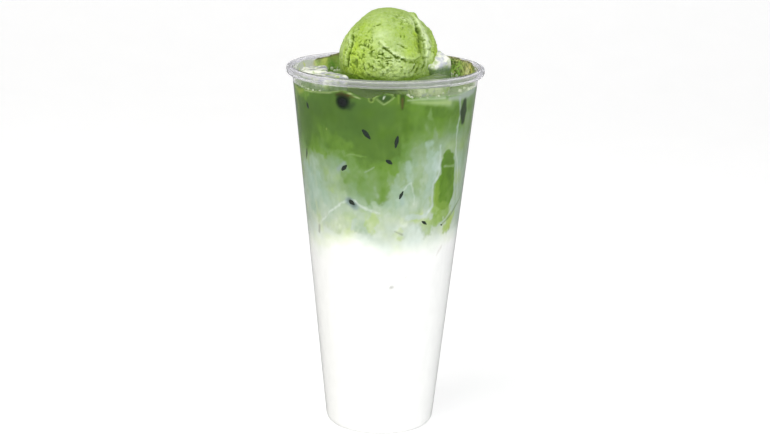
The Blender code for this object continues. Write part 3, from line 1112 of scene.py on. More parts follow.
@dataclass(frozen=True)
class Palette:
    """The drink's paint: from a place against the wall to a colour."""

    form: CupForm
    gain: float = 0.76
    milk_gain: float = 0.95
    milk_fade: float = 0.12  # how much tea it takes to show its full warmth
    # The plumes behind: where round the cup, and the heights at which they start
    back_seed: int = 5
    back_plumes: int = 46
    back: Span = (92.0, 272.0)
    back_tops: Span = (112.0, 150.0)

    def swirl(self, places: Array) -> Swirl:
        """Returns what the drink's turning does at each place."""
        wide = noises(places, 7.0, (11, 21), 2)
        fine = noises(places, 1.8, (31, 41), 2)
        fringe, cloud = noises(places * UPRIGHT, 2.2, (51, 61), 3).T
        return Swirl(1.2 * wide + 0.35 * fine, 0.8 * fringe, np.clip(0.5 + 0.5 * cloud, 0.0, 1.0))

    def shares(self, across: Array, heights: Array) -> Array:
        """Works out how much milk there is at each place, from the columns round the cup.

        Args:
            across: Each place's azimuth.
            heights: Each place's height.

        Returns:
            One share from 0 to 1 for each place.
        """
        angles = np.array(list(COLUMNS), float)
        levels = np.stack([read_line(stops, heights) for stops in COLUMNS.values()])
        turn = (across - angles[0]) % 360.0 + angles[0]
        angles = np.append(angles, angles[0] + 360.0)
        levels = np.concatenate([levels, levels[:1]])
        after = np.clip(np.searchsorted(angles, turn, side="right"), 1, len(angles) - 1)
        part = ramp(turn, angles[after - 1], angles[after] - angles[after - 1])
        rows = np.arange(len(across))
        return levels[after - 1, rows] * (1.0 - part) + levels[after, rows] * part

    def far_plumes(self) -> list[Plume]:
        """Makes plumes for the half of the drink behind, seeded so that they never change."""
        dice = np.random.default_rng(self.back_seed)
        made = []
        for _ in range(self.back_plumes):
            azimuth = dice.uniform(*self.back)
            top = dice.uniform(*self.back_tops)
            sway = dice.uniform(-6, 6, 2)
            drop = dice.uniform(5, 14, 2)
            width = dice.uniform(0.4, 3.0)
            # The lower a plume starts, the more milk it holds
            milk = float(np.clip((150 - top) / 50 + dice.uniform(-0.3, 0.35), 0.1, 0.92))
            path = ((azimuth, top, width * 0.6), (azimuth + sway[0], top - drop[0], width),
                    (azimuth + sway[0] + sway[1], top - drop[0] - drop[1], width * 0.4))
            warmth = dice.uniform(-0.7, 0.7)
            made.append(Plume(milk, path, warmth, dice.uniform(0.5, 0.9), 0.6 + 0.6 * width))
        return made

    def colours(self, places: Array) -> Array:
        """Paints the places that lie against the wall.

        Args:
            places: Where, in millimetres, one row of three each.

        Returns:
            Linear colours, one row of three each.
        """
        across = azimuths(places)
        heights = places[:, 2]
        swirl = self.swirl(places)
        around = across + np.degrees(2.0 * swirl.drift[:, 0] / self.form.inside(heights))
        milk = self.shares(around, heights + 1.3 * swirl.drift[:, 1])
        warmth = 0.4 * noise(places, 8.0, 31, 3)
        for plume in (*PLUMES, *self.far_plumes()):
            cover = plume.cover(self.form, across, heights, swirl)
            milk += (plume.milk - milk) * cover
            warmth += (plume.warmth - warmth) * cover
        # The mottle is weak in plain tea, and plain milk has none
        mixed = smooth(milk * 3.0 + 0.35) * (1.0 - ramp(milk, 0.80, 0.14))
        mottle = 0.06 * noise(places * np.array([1.0, 1.0, 0.8]), 5.0, 51, 2)
        mottle += 0.035 * noise(places * UPRIGHT, 1.8, 61, 3)
        milk = np.clip(milk + mottle * mixed, 0.0, 1.0)
        stops = np.array([share for share, _ in TEA_TO_MILK])
        tones = np.array([tone for _, tone in TEA_TO_MILK], float)
        paint = np.stack([np.interp(milk, stops, channel) for channel in tones.T], axis=1)
        fade = np.clip((1.0 - milk) / self.milk_fade, 0.0, 1.0)
        warm = (np.clip(warmth, 0.0, 1.0) * fade)[:, None] * np.array(WARM_SHIFT)
        cool = (np.clip(-warmth, 0.0, 1.0) * fade)[:, None] * np.array(COOL_SHIFT)
        paint *= 1.0 + warm + cool
        for stain in STAINS:
            paint = tint(paint, stain.colour, stain.plume().cover(self.form, across, heights, swirl))
        gain = self.gain + (self.milk_gain - self.gain) * ramp(milk, 0.86, 0.14)
        return linear(paint) * gain[:, None]


STAINS = (
    # Where the tea meets the air: a pale line, and soft milk on the right
    Stain((166, 188, 78), ((-76, 169.4, 0.8), (-68, 167.6, 1.4), (-62, 168.6, 0.8)), 0.8, 1.8),
    Stain((150, 170, 62), ((-76, 166, 0.8), (-72, 160, 0.7), (-74, 154, 0.5)), 0.6, 1.6),
    Stain((190, 206, 146), ((-60, 169.0, 0.3), (-46, 169.6, 0.3), (-36, 170.4, 0.35), (-30, 171.5, 0.3),
                            (-25, 171.8, 0.3), (-21.5, 170.9, 0.3), (-18, 169.6, 0.25),
                            (-15, 168.6, 0.2)), 0.9, 0.5),
    Stain((104, 84, 42), ((-27, 171.1, 0.2), (-22, 170.2, 0.4), (-19.4, 169.0, 0.2)), 0.8, 0.6),
    Stain((206, 222, 190), ((14, 168.4, 0.25), (22, 168.7, 0.3), (30, 168.6, 0.35), (40, 168.4, 0.6)),
          0.75, 0.9),
    Stain((186, 212, 142), ((17, 167.6, 0.4), (28, 166.8, 0.8), (44, 166.0, 1.6)), 0.85, 2.6),
    Stain((196, 206, 204), ((44, 167.8, 0.8), (54, 167.6, 1.6), (64, 168.2, 1.8), (74, 168.8, 1.2)),
          0.7, 2.2),
    Stain((188, 198, 204), ((54, 167.0, 0.7), (55.5, 163.0, 0.7), (56.5, 159.0, 0.5)), 0.7, 1.2),
    # The brown shade round the pearl
    Stain((22, 32, 24), ((-26.6, 166.7, 3.4),), 0.96, 2.6),
    Stain((50, 60, 26), ((-31.5, 169.4, 0.3), (-28.6, 169.9, 0.6), (-24.6, 169.8, 0.6),
                         (-21.6, 168.6, 0.3)), 0.8, 1.4),
    Stain((74, 60, 34), ((-31, 170.0, 0.3), (-27, 170.7, 0.5), (-22.6, 169.4, 0.3)), 0.75, 1.0),
    Stain((54, 76, 44), ((-22.4, 164.4, 1.4), (-19.6, 166.0, 0.8)), 0.7, 2.6),
    # The large bubble against the wall: a darker inside, a pale outline, and two bright spots of painted
    # highlight
    Stain((64, 92, 44), ((-2.6, 169.4, 1.0), (-0.4, 169.2, 1.9), (2.4, 169.6, 1.2)), 0.85, 1.0),
    Stain((178, 202, 126), ((-7.0, 168.9, 0.2), (-5.6, 170.1, 0.3), (-2.5, 171.6, 0.3), (0.8, 172.2, 0.3),
                            (4.6, 171.9, 0.5), (5.8, 170.0, 0.3)), 0.85, 0.5),
    Stain((174, 198, 130), ((-5.4, 169.2, 0.2), (-2.7, 167.6, 0.3), (-0.5, 166.4, 0.3), (2.4, 167.8, 0.3),
                            (5.3, 169.6, 0.25)), 0.8, 0.5),
    Stain((226, 238, 216), ((-0.9, 169.3, 0.3), (-0.4, 170.2, 0.4)), 0.95, 0.4),
    Stain((206, 218, 190), ((4.4, 172.0, 0.5),), 0.95, 0.5),
    Stain((160, 188, 96), ((-8.2, 168.5, 1.4),), 0.8, 0.5),
    Stain((84, 112, 46), ((-8.2, 168.5, 0.9),), 0.8, 0.5),
    Stain((40, 62, 28), ((-8.2, 168.5, 0.4),), 0.9, 0.5),
    Stain((48, 70, 30), ((5.6, 171.0, 0.5), (6.6, 170.6, 0.4)), 0.8, 0.5),
    # The dark slit in front of the ice: painted shadow of the ice block, with a brown edge and a paler line
    # beside it
    Stain((64, 86, 34), ((10.6, 173.0, 1.1), (10.9, 168.6, 1.1), (10.9, 164.4, 0.5)), 0.85, 0.8),
    Stain((124, 90, 58), ((10.8, 169.2, 0.3), (10.9, 165.0, 0.25)), 0.8, 0.6),
    Stain((146, 176, 74), ((8.2, 172.6, 0.4), (8.4, 167.0, 0.3)), 0.6, 0.8),
    # A dark leaf deep on the right, and soft halos round the bits near the wall
    Stain((52, 68, 44), ((60.2, 164.8, 1.6), (60.2, 160.2, 3.0), (60.8, 155.4, 1.6)), 0.9, 1.6),
    Stain((160, 178, 176), ((-32, 134.0, 1.0), (-27, 137.4, 0.8)), 0.7, 1.6),
    Stain((150, 170, 168), ((-25, 119.0, 1.8), (-20, 116.4, 1.6)), 0.75, 2.0),
    Stain((104, 124, 116), ((-24, 119.2, 1.2), (-21, 117.4, 1.2)), 0.7, 1.6),
    Stain((176, 200, 190), ((13, 122.0, 1.2), (14, 118.6, 1.0)), 0.6, 1.6),
    Stain((176, 180, 168), ((-55, 103.6, 0.7), (-56, 100.6, 0.7)), 0.85, 1.2),
    Stain((84, 104, 56), ((-64, 140.0, 0.6), (-66, 135.6, 0.5)), 0.8, 1.0),
    Stain((186, 210, 104), ((60.5, 107.6, 1.5), (58.6, 104.2, 1.5)), 0.6, 2.2),
    Stain((148, 178, 76), ((40.8, 125, 0.9), (41.8, 117, 1.2)), 0.55, 2.2),
    Stain((118, 140, 84), ((77, 117.4, 0.3), (66, 112.8, 0.6), (58, 108.8, 0.5), (50, 106.2, 0.3)),
          0.6, 1.3),
    Stain((150, 160, 140), ((9, 105.0, 0.2), (15, 103.2, 0.35)), 0.8, 0.8),
    Stain((214, 210, 200), ((48, 91.5, 0.3), (52, 94.4, 0.3)), 0.8, 1.0),
    Stain((178, 178, 172), ((7.5, 77.0, 0.35), (11.5, 77.6, 0.35)), 0.9, 0.7),
    Stain((226, 226, 220), ((11.5, 77.6, 0.3), (22, 83.0, 0.3)), 0.7, 0.8),
    Stain((190, 208, 110), ((-40, 152.6, 0.35),), 0.8, 0.6),
)


# ------------ The drink ------------


@dataclass(frozen=True)
class Drink:
    """The milk below and the tea above it, which meet without a step."""

    form: CupForm
    palette: Palette
    meeting: float = 99.0
    surface: float = 169.5
    grip: float = 0.15  # how far the drink reaches into the wall
    hub: float = 8.0  # the radius of the first ring round the axis
    segments: int = 512
    corner_steps: int = 8
    tea_rows: int = 140
    milk_rows: int = 60
    sharp: float = 40.0
    # Where the drink's edge climbs the wall or sinks, by azimuth
    shore: Path = (
        (-180, 170.2), (-150, 171.0), (-120, 169.8), (-90, 170.4), (-72, 170.2), (-60, 169.7), (-48, 169.7),
        (-36, 170.8), (-26, 172.2), (-20, 171.4), (-14, 169.6), (-9, 168.8), (-5, 170.4), (1, 171.8),
        (7, 171.2), (12, 171.4), (17, 169.0), (24, 168.8), (44, 168.8), (56, 168.8), (66, 169.8),
        (78, 169.8), (100, 170.6), (124, 169.6), (150, 170.8), (180, 170.2),
    )
    shore_reach: float = 3.2
    shore_depth: float = 8.0  # how far down the wall it still moves the tea
    top_depth: float = 4.0  # how far below the surface its own skin may dip
    dim_tea: Colour = (104, 136, 58)
    pale_tea: Colour = (142, 170, 92)
    # Painted shade on the surface's front, under the scoop and between the ice
    shaded_front_tea: Colour = (78, 104, 46)
    right_tea: Colour = (166, 186, 146)

    def edge(self, across: Array) -> Array:
        """Returns the height of the drink's edge at each azimuth."""
        return read_line(self.shore, across)

    def divide(self, piece: Piece, low: float, high: float, rows: int) -> None:
        """Cuts the long faces of a wall into rows.

        Args:
            piece: The layer of drink, which is changed.
            low: The height of the faces' lower ends.
            high: The height of their upper ends.
            rows: How many rows to make of them.
        """
        first, second = edge_ends(piece)
        tall = np.abs(first[:, 2] - second[:, 2]) > 0.9 * (high - low)
        pick(piece, "EDGE", tall)
        bpy.ops.mesh.subdivide_edgering(number_cuts=rows - 1, interpolation="LINEAR", smoothness=0.0)
        to_object()

    def build_milk(self) -> Piece:
        """Makes the layer of milk and returns it."""
        base = self.form.base(self.form.wall - self.grip, self.corner_steps)
        top = [(self.form.inside(self.meeting, self.grip), self.meeting), (self.hub, self.meeting)]
        milk = Lathe.along("milk_layer", self.segments // 2, base + top).close()
        self.divide(milk, base[-1][1], self.meeting, self.milk_rows)
        mark(milk, "paint", self.palette.colours(vertices_of(milk)))
        shade(milk, self.sharp)
        DrinkSide().dress(milk)
        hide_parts("milk")
        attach(milk, BODY)
        return milk

    def build_tea(self) -> Piece:
        """Makes the layer of tea and returns it."""
        high = self.form.inside(self.surface, self.grip)
        profile = [(self.hub, self.meeting), (self.form.inside(self.meeting, self.grip), self.meeting)]
        # The rings stand close together at the wall, where the surface bends
        profile += [(high - 0.45 * step - 0.02 * step * step, self.surface) for step in range(15)]
        profile += [(radius, self.surface) for radius in (30.0, 22.0, 12.0, 4.0)]
        tea = Lathe.along("tea_layer", self.segments, profile).close()
        self.divide(tea, self.meeting, self.surface, self.tea_rows)
        self.raise_shore(tea)
        mark(tea, "paint", self.paint_tea(vertices_of(tea)))
        shade(tea, self.sharp)
        DrinkSide().dress(tea)
        centres = face_centres(tea)
        off_wall = radii(centres) < self.form.inside(centres[:, 2]) - 0.1
        DrinkTop().dress_part(tea, (centres[:, 2] > self.surface - self.top_depth) & off_wall)
        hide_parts("matcha")
        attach(tea, BODY)
        return tea

    def raise_shore(self, tea: Piece) -> None:
        """Bends the surface's edge up and down along the shore, and ripples the rest a little.

        Args:
            tea: The layer of tea, which is changed.
        """
        places = vertices_of(tea)
        reach = radii(places)
        rim = self.form.inside(self.surface, self.grip)
        rise = self.edge(azimuths(places)) - self.surface
        on_top = places[:, 2] > self.surface - 0.01
        near = np.exp(-(rim - reach) / (self.shore_reach / 3.0))
        places[:, 2] += np.where(on_top, rise * near, 0.0)
        ripple = 0.22 * noise(places, 6.0, 71, 2) * (1.0 - near)
        places[:, 2] += np.where(on_top, ripple, 0.0)
        span = (places[:, 2] - (self.surface - self.shore_depth)) / self.shore_depth
        places[:, 2] += np.where(on_top, 0.0, rise * np.clip(span, 0.0, 1.0) ** 2)
        side = (~on_top | (reach > rim - 0.02)) & (reach > self.form.inside(self.meeting) - 1.0)
        wall = self.form.inside(places[:, 2], self.grip)
        places[:, :2] *= np.where(side, wall / np.maximum(reach, 1.0), 1.0)[:, None]
        move_vertices(tea, places)

    def paint_tea(self, places: Array) -> Array:
        """Paints the tea: its side against the wall, and its open surface, with painted shade on the
        surface's front.

        Args:
            places: Its vertices in millimetres, one row of three each.

        Returns:
            Linear colours, one row of three each.
        """
        side = self.palette.colours(places)
        cloud = (0.5 + 0.5 * noise(places, 5.0, 91, 3))[:, None]
        open_tea = linear(self.dim_tea) * (1.0 - cloud) + linear(self.pale_tea) * cloud
        turn = azimuths(places)
        # Painted shade on the front of the surface, under the scoop and the ice
        front = ramp(turn, -46.0, 12.0) * (1.0 - ramp(turn, 10.0, 6.0))
        right = ramp(turn, 16.0, 10.0) * (1.0 - ramp(turn, 76.0, 14.0))
        open_tea = tint(open_tea, linear(self.shaded_front_tea), 0.8 * front)
        open_tea = tint(open_tea, linear(self.right_tea), 0.7 * right)
        share = smooth((self.form.inside(places[:, 2]) - 0.3 - radii(places)) / 1.2)
        share = np.where(places[:, 2] > self.surface - self.top_depth, share, 0.0)[:, None]
        return side * (1.0 - share) + open_tea * self.palette.gain * share


# ------------ The scoop ------------


@dataclass(frozen=True)
class Crease:
    """A fold, crack or tear in the scoop, along a path of (azimuth, elevation)."""

    path: Path
    half_width: float
    depth: float
    # How much painted shade darkens it
    dark: float = 1.0


@dataclass(frozen=True)
class Ledge:
    """A layer that is raised on the left of a path, as one looks along it from outside."""

    path: Path
    height: float
    rise: float
    fade: float


@dataclass(frozen=True)
class Mound:
    """A round swelling, or a dent where the height is negative."""

    azimuth: float
    elevation: float
    reach: float
    height: float
    # How much painted shade darkens it
    dark: float = 0.0


LEDGES = (
    Ledge(((100, 68), (76, 60), (64, 54), (57, 46), (54, 40), (54, 30), (53, 21), (51, 12), (50, 2),
           (48, -12)), 1.2, 0.8, 34),
    Ledge(((64, -20), (62, -9), (62, 3), (67, 14), (79, 24), (96, 33), (118, 40)), -1.0, 1.4, 30),
    Ledge(((-14, 28), (-11, 25), (0, 15), (10, 9), (18, 5), (32, 4), (42, 8), (46, 15)), 1.0, 0.9, 9),
    Ledge(((-52, -8), (-52, 1), (-50, 11), (-50, 22), (-56, 33), (-70, 42)), 0.9, 1.2, 15),
    Ledge(((150, -16), (158, 2), (176, 16), (200, 24), (228, 20)), 0.8, 1.4, 14),
    Ledge(((108, 56), (122, 40), (130, 20), (128, 2)), 0.6, 0.8, 9),
)
CREASES = (
    # The crevice beside the flap, and the edge of the smooth lap
    Crease(((68, 60), (61, 53), (56, 47), (54, 42), (51, 37)), 0.7, 1.5),
    Crease(((56, 45), (52, 38), (49, 31), (47, 26), (46, 20), (45, 14), (42, 8)), 1.6, 0.8, 0.5),
    Crease(((-8, 21), (-4, 19), (2, 15), (8, 11), (15, 7), (22, 4), (31, 2), (38, 4)), 0.42, 0.7, 0.75),
    # Cracks on the left
    Crease(((-61, 35), (-52, 27), (-50, 17), (-51, 9), (-51, 0), (-53, -8)), 0.62, 1.3, 0.95),
    Crease(((-61, 35), (-55, 37), (-49, 41)), 0.45, 0.8, 0.7),
    Crease(((-42, 21), (-37, 22), (-32, 22), (-28, 19)), 0.5, 0.8, 0.75),
    Crease(((-28, 19), (-25, 23), (-26, 30)), 0.42, 0.7, 0.7),
    Crease(((-27, 4), (-28, -1), (-29, -8)), 0.55, 0.9, 0.9),
    Crease(((-19, -1), (-17, -4), (-18, -8)), 0.45, 0.7, 0.8),
    # Rows of tears under the smooth lap
    Crease(((-23, 12), (-19, 15), (-14, 16)), 0.36, 0.5, 0.75),
    Crease(((-13, 13), (-7, 12), (-2, 13)), 0.36, 0.5, 0.75),
    Crease(((-16, 7), (-11, 8), (-5, 9)), 0.40, 0.6, 0.85),
    Crease(((-1, 8), (4, 8)), 0.34, 0.4, 0.7),
    Crease(((-5, 4), (2, 6), (8, 4)), 0.36, 0.5, 0.75),
    Crease(((10, 5), (15, 4)), 0.36, 0.5, 0.8),
    Crease(((-8, -9), (-4, -10)), 0.5, 0.5, 0.7),
    # Tears in the smooth lap and above it
    Crease(((11, 25), (16, 23), (21, 21), (26, 19)), 0.42, 0.7, 0.85),
    Crease(((28, 59), (41, 60), (46, 55)), 0.40, 0.4, 0.55),
    Crease(((27, 53), (39, 53), (43, 51)), 0.40, 0.5, 0.65),
    # Folds under the flap
    Crease(((38, 3), (33, -4), (28, -11)), 0.5, 0.8, 0.6),
    Crease(((40, 3), (41, -3), (41, -9)), 0.45, 0.6, 0.5),
    Crease(((47, 8), (50, 2), (49, -8)), 0.55, 0.8, 0.7),
    Crease(((54, 8), (55, 0), (56, -8)), 0.45, 0.5, 0.5),
    Crease(((49, 16), (57, 15), (65, 15)), 0.5, 0.7, 0.55),
    # The back
    Crease(((-66, 30), (-64, 20), (-66, 8)), 0.45, 0.5, 0.5),
    Crease(((112, 26), (124, 8), (128, -12)), 0.7, 0.9, 0.7),
    Crease(((196, 52), (212, 34), (218, 12)), 0.6, 0.9, 0.7),
    Crease(((160, 34), (170, 28), (176, 30)), 0.45, 0.6, 0.7),
    Crease(((236, 10), (240, 2), (238, -8)), 0.45, 0.6, 0.7),
    Crease(((250, 40), (262, 36), (268, 28)), 0.45, 0.6, 0.6),
)
MOUNDS = (
    Mound(-102, 42, 15, -1.3),
    Mound(80, 47, 2.2, -1.6, 1.0),
    Mound(50, 41, 1.6, -1.2, 1.0),
    Mound(97, 60, 3.4, 1.3),
    Mound(92, 50, 2.2, -0.7, 0.3),
    Mound(95, 38, 7, 0.6),
    Mound(15, -9, 11, 0.8),
    Mound(-38, 4, 7, 0.5),
    Mound(18, 34, 0.75, -0.5, 0.7),
    Mound(24, 34, 0.75, -0.5, 0.7),
    Mound(22, 31, 0.5, -0.3, 0.4),
    Mound(24, 46, 0.8, -0.4, 0.5),
    Mound(-15, 50, 1.0, -0.4, 0.5),
    Mound(-18, 49, 0.8, -0.4, 0.5),
    Mound(-23, 47, 0.7, -0.3, 0.4),
)


class Skin(Enum):
    """What a zone of the scoop's skin is like; some zones hold painted shade and painted highlight."""

    CRUMBLY = "crumbly"
    TORN = "torn"
    # Pale tone, with painted highlight and painted light
    PALE = "pale"
    SHADED = "shaded"
    RIPE = "ripe"


@dataclass(frozen=True)
class Zone:
    """A zone of the scoop's skin: its middle, how far it reaches and how strong it is."""

    azimuth: float
    elevation: float
    reach: float
    strength: float = 1.0


ZONES = {
    Skin.CRUMBLY: (
        Zone(-38, 8, 14), Zone(-40, 34, 9, 0.8), Zone(-6, 0, 11, 0.8), Zone(20, -6, 9, 0.7),
        Zone(-12, 50, 9, 0.35), Zone(46, -2, 9, 0.8), Zone(62, 24, 8, 0.8), Zone(34, 57, 7, 0.8),
        Zone(80, 10, 9, 0.8), Zone(-84, 20, 12, 0.8), Zone(150, 20, 22, 0.8), Zone(215, 15, 20, 0.8),
    ),
    Skin.TORN: (
        Zone(-4, 8, 8), Zone(36, 56, 4.5, 0.8), Zone(-30, 26, 4, 0.7), Zone(18, -3, 6, 0.5),
        Zone(190, 30, 12, 0.7),
    ),
    # Pale places, mostly painted light: a sheen on the upper left, and light on the flap and the lower
    # front, which face away from the lamps
    Skin.PALE: (
        Zone(-11, 36, 6, 0.45), Zone(-8, 18, 3.5, 0.4), Zone(60, 30, 3.4), Zone(58, 20, 3.2, 0.9),
        Zone(57, 8, 3.0, 0.7), Zone(64, 40, 2.8, 0.8), Zone(-20, 58, 5, 0.2), Zone(-66, 14, 5, 0.3),
        Zone(68, 50, 4, 0.6), Zone(5, -4, 9, 0.55), Zone(-30, 2, 8, 0.3),
    ),
    Skin.SHADED: (
        Zone(53, 40, 2.4, 0.8), Zone(50, 33, 2.8, 0.9), Zone(46, 26, 3.6), Zone(45, 19, 3.4, 0.9),
        Zone(45, 12, 2.8, 0.6), Zone(41, 2, 3.4, 0.5), Zone(38, -8, 4.5, 0.5), Zone(92, 44, 2.4, 0.4),
    ),
    Skin.RIPE: (
        Zone(-38, 8, 11), Zone(-42, -6, 9), Zone(44, 22, 3.6), Zone(46, 36, 3.0, 0.8),
        Zone(30, 9, 6, 0.7), Zone(-34, 40, 6, 0.5), Zone(26, 44, 6, 0.4), Zone(-14, -8, 8, 0.6),
        Zone(12, -10, 8, 0.5), Zone(76, 6, 7, 0.8), Zone(160, 10, 14, 0.6), Zone(230, 30, 12, 0.5),
    ),
}


@dataclass(frozen=True)
class Scoop:
    """The scoop of ice cream: a ball with laps, folds, cracks and a rough skin."""

    centre: tuple[float, float, float] = (1.0, 0.0, 181.5)
    radius: float = 23.3
    crown: float = 0.8  # how much taller than round it is
    side_shown: Span = (-1.1, -0.12)  # how far back each finer round of facets reaches, in radii
    side_tilt: float = 18.0
    sunk: float = -13.5  # below this, from the centre, its facets stay coarse
    taper: float = 0.15  # the share of a path, at each end, where it fades
    stray: float = 0.018  # how far laps and cracks leave their paths
    fray: float = 0.011  # how ragged their edges are
    water: float = 169.5
    dip: float = 4.6  # how far above the drink the scoop is fully soaked
    soak: float = 4.2

    def build(self) -> Piece:
        """Makes the scoop and returns it."""
        deselect_all()
        place = [value * MM for value in self.centre]
        bpy.ops.mesh.primitive_ico_sphere_add(subdivisions=6, radius=self.radius * MM, location=place)
        scoop = new_piece("scoop_of_ice_cream")
        settle(scoop)
        for reach in self.side_shown:
            centres = face_centres(scoop) - np.array(self.centre)
            shown = centres @ direction(0.0, self.side_tilt) > reach * self.radius
            pick(scoop, "FACE", shown & (centres[:, 2] > self.sunk))
            bpy.ops.mesh.subdivide(number_cuts=1)
            bpy.ops.mesh.quads_convert_to_tris()
            to_object()
        self.sculpt(scoop)
        shade(scoop, 180.0)
        IceCream().dress(scoop)
        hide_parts("scoop")
        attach(scoop, BODY)
        return scoop

    def beside(self, points: Array, path: Path) -> tuple[Array, Array]:
        """Finds where directions lie beside a path.

        Args:
            points: Unit vectors from the scoop's centre, one row each.
            path: The path's (azimuth, elevation) corners.

        Returns:
            The signed distance from the path, positive on its left, and a weight that falls to
            zero at the path's two ends.
        """
        corners = direction(*np.array(path, float).T)
        best = np.full(len(points), np.inf)
        side = np.ones(len(points))
        along = np.zeros(len(points))
        for index, (start, end) in enumerate(zip(corners, corners[1:])):
            run = end - start
            part = np.clip((points - start) @ run / (run @ run), 0.0, 1.0)
            away = lengths(points - units(start + part[:, None] * run))
            nearer = away < best
            best = np.where(nearer, away, best)
            side = np.where(nearer, np.where(points @ np.cross(start, end) > 0.0, 1.0, -1.0), side)
            along = np.where(nearer, (index + part) / (len(corners) - 1), along)
        weight = smooth(np.minimum(along, 1.0 - along) / self.taper)
        return side * best * self.radius, weight

    def away(self, spot: Mound | Zone, points: Array) -> Array:
        """Returns how far directions lie from the middle of a spot, across the ball."""
        return lengths(points - direction(spot.azimuth, spot.elevation)) * self.radius

    def zones(self, skin: Skin, points: Array) -> Array:
        """Returns how much of one kind of skin there is in each direction, from 0 to 1."""
        spots = [zone.strength * bell(self.away(zone, points) / zone.reach) for zone in ZONES[skin]]
        return np.max(spots, axis=0)

    def sculpt(self, scoop: Piece) -> None:
        """Moves the ball's skin into its laps, folds and grain, and marks its tones, with painted shade in
        its hollows and painted highlight on its raised edges.

        Args:
            scoop: The ball, which is changed.
        """
        centre = np.array(self.centre)
        points = units(vertices_of(scoop) - centre)
        place = points * self.radius
        wobble = noises(place, 3.0, (3, 4, 5), 2)
        shaken = units(points + self.stray * wobble + self.fray * noises(place, 0.8, (13, 14, 15), 2))
        height = self.crown * np.maximum(points[:, 2], 0.0) ** 3
        hollow_shade = np.zeros(len(points))
        pale = self.zones(Skin.PALE, shaken)
        patchy = np.clip(0.75 + 0.7 * noise(place, 1.4, 33, 2), 0.25, 1.2)
        # Laps: a step up on one side, with a pale lip of painted highlight and a dark foot of painted shade
        for ledge in LEDGES:
            away, weight = self.beside(shaken, ledge.path)
            height += ledge.height * smooth(away / ledge.rise) * (1.0 - smooth(away / ledge.fade)) * weight
            lip = bell((away - 1.3 * ledge.rise) / (0.9 * ledge.rise)) * weight
            pale += 0.35 * lip * (ledge.height > 0.0)
            hollow_shade += 0.3 * bell(away / 0.5) * weight * abs(ledge.height) * patchy
        # Cracks: a bed of painted shade between two low brims of painted highlight
        for crease in CREASES:
            away, weight = self.beside(shaken, crease.path)
            bed = bell(away / crease.half_width) * weight * patchy
            brim = bell((np.abs(away) - 2.2 * crease.half_width) / crease.half_width) * weight
            height += 0.16 * crease.depth * brim - 0.8 * crease.depth * bed
            hollow_shade += 0.85 * crease.dark * bell(away / (0.8 * crease.half_width)) * weight * patchy
            pale += 0.25 * brim * crease.dark
        # Swellings and dents; the dark dents hold painted shade
        for mound in MOUNDS:
            bump = 1.0 - smooth(self.away(mound, shaken) / mound.reach)
            height += mound.height * bump
            hollow_shade += mound.dark * bump
        hollow_shade += 0.36 * self.zones(Skin.SHADED, shaken)
        # Grain: crumbs and pits, level tears, and faint streaks all over; painted shade in the tears and
        # pits, and painted highlight on the raised crumbs
        crumbly = self.zones(Skin.CRUMBLY, shaken)
        torn = self.zones(Skin.TORN, shaken)
        crumble = noise(place, 1.3, 21, 3)
        combed = noise(place * np.array((0.42, 0.42, 1.0)), 0.85, 27, 2)
        streaks = noise((place + 0.5 * wobble) * np.array((0.35, 1.0, 1.0)), 2.0, 37, 2)
        tears = ramp(-combed, 0.22, 0.35) * torn
        pits = ramp(-crumble, 0.28, 0.35) * crumbly
        height += (0.07 + 0.32 * crumbly) * crumble + 0.22 * noise(place, 6.5, 23, 2) + 0.06 * streaks
        height -= 0.34 * tears + 0.30 * pits
        hollow_shade += 0.5 * tears + 0.5 * pits
        crumbs = 0.35 * crumbly * np.clip(crumble, 0.0, 1.0)
        pale += 0.10 * streaks + crumbs + 0.3 * torn * np.clip(combed, 0.0, 1.0)
        skin = centre + points * (self.radius + height)[:, None]
        shore = skin[:, 2] - self.water - self.dip + noise(place, 4.0, 29, 2)
        ripe = self.zones(Skin.RIPE, shaken) + 0.25 * noise(place, 4.0, 39, 2)
        pale *= 1.0 - 0.6 * np.clip(ripe, 0.0, 1.0)
        tones = {"hollow_shade": hollow_shade, "soaked": 1.0 - smooth(shore / self.soak), "pale": pale, "ripe": ripe}
        for name, values in tones.items():
            mark(scoop, name, np.clip(values, 0.0, 1.0))
        move_vertices(scoop, skin)


# ------------ Ice ------------


@dataclass(frozen=True)
class IceBlock:
    """One lump of ice: a bevelled box that narrows downwards, with melted faces."""

    name: str
    centre: tuple[float, float, float]
    size: tuple[float, float, float]
    turn: tuple[float, float, float]
    bottom_scale: float
    bevel: float
    seed: int
    dry: float = 174.0  # the height where the tea on its skin ends, and the height where it is full
    wet: float = 171.6
    finish: Ice = Ice()

    def build(self) -> Piece:
        """Makes the lump and returns it."""
        deselect_all()
        bpy.ops.mesh.primitive_cube_add(size=1.0)
        lump = new_piece(f"{self.name}_lump")
        lump.scale = [edge * MM for edge in self.size]
        settle(lump)
        pick(lump, "VERT", vertices_of(lump)[:, 2] < 0.0)
        bpy.ops.transform.resize(value=(self.bottom_scale, self.bottom_scale, 1.0),
                                 center_override=(0.0, 0.0, 0.0))
        to_object()
        modify(lump, "BEVEL", width=self.bevel * MM, segments=4, limit_method="NONE")
        modify(lump, "SUBSURF", subdivision_type="SIMPLE", levels=3, render_levels=3)
        self.melt(lump)
        lump.rotation_euler = [math.radians(angle) for angle in self.turn]
        lump.location = [value * MM for value in self.centre]
        settle(lump)
        places = vertices_of(lump)
        level = places[:, 2] + 0.8 * noise(places, 3.0, self.seed + 7, 2)
        mark(lump, "soaked", 0.85 * smooth((self.dry - level) / (self.dry - self.wet)))
        shade(lump, 60.0)
        self.finish.dress(lump)
        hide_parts(self.name)
        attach(lump, BODY)
        return lump

    def melt(self, lump: Piece) -> None:
        """Wears the lump's faces and edges unevenly."""
        places = vertices_of(lump)
        wear = 0.28 * noise(places, 5.0, self.seed, 2) - 0.1
        move_vertices(lump, places + units(places) * wear[:, None])


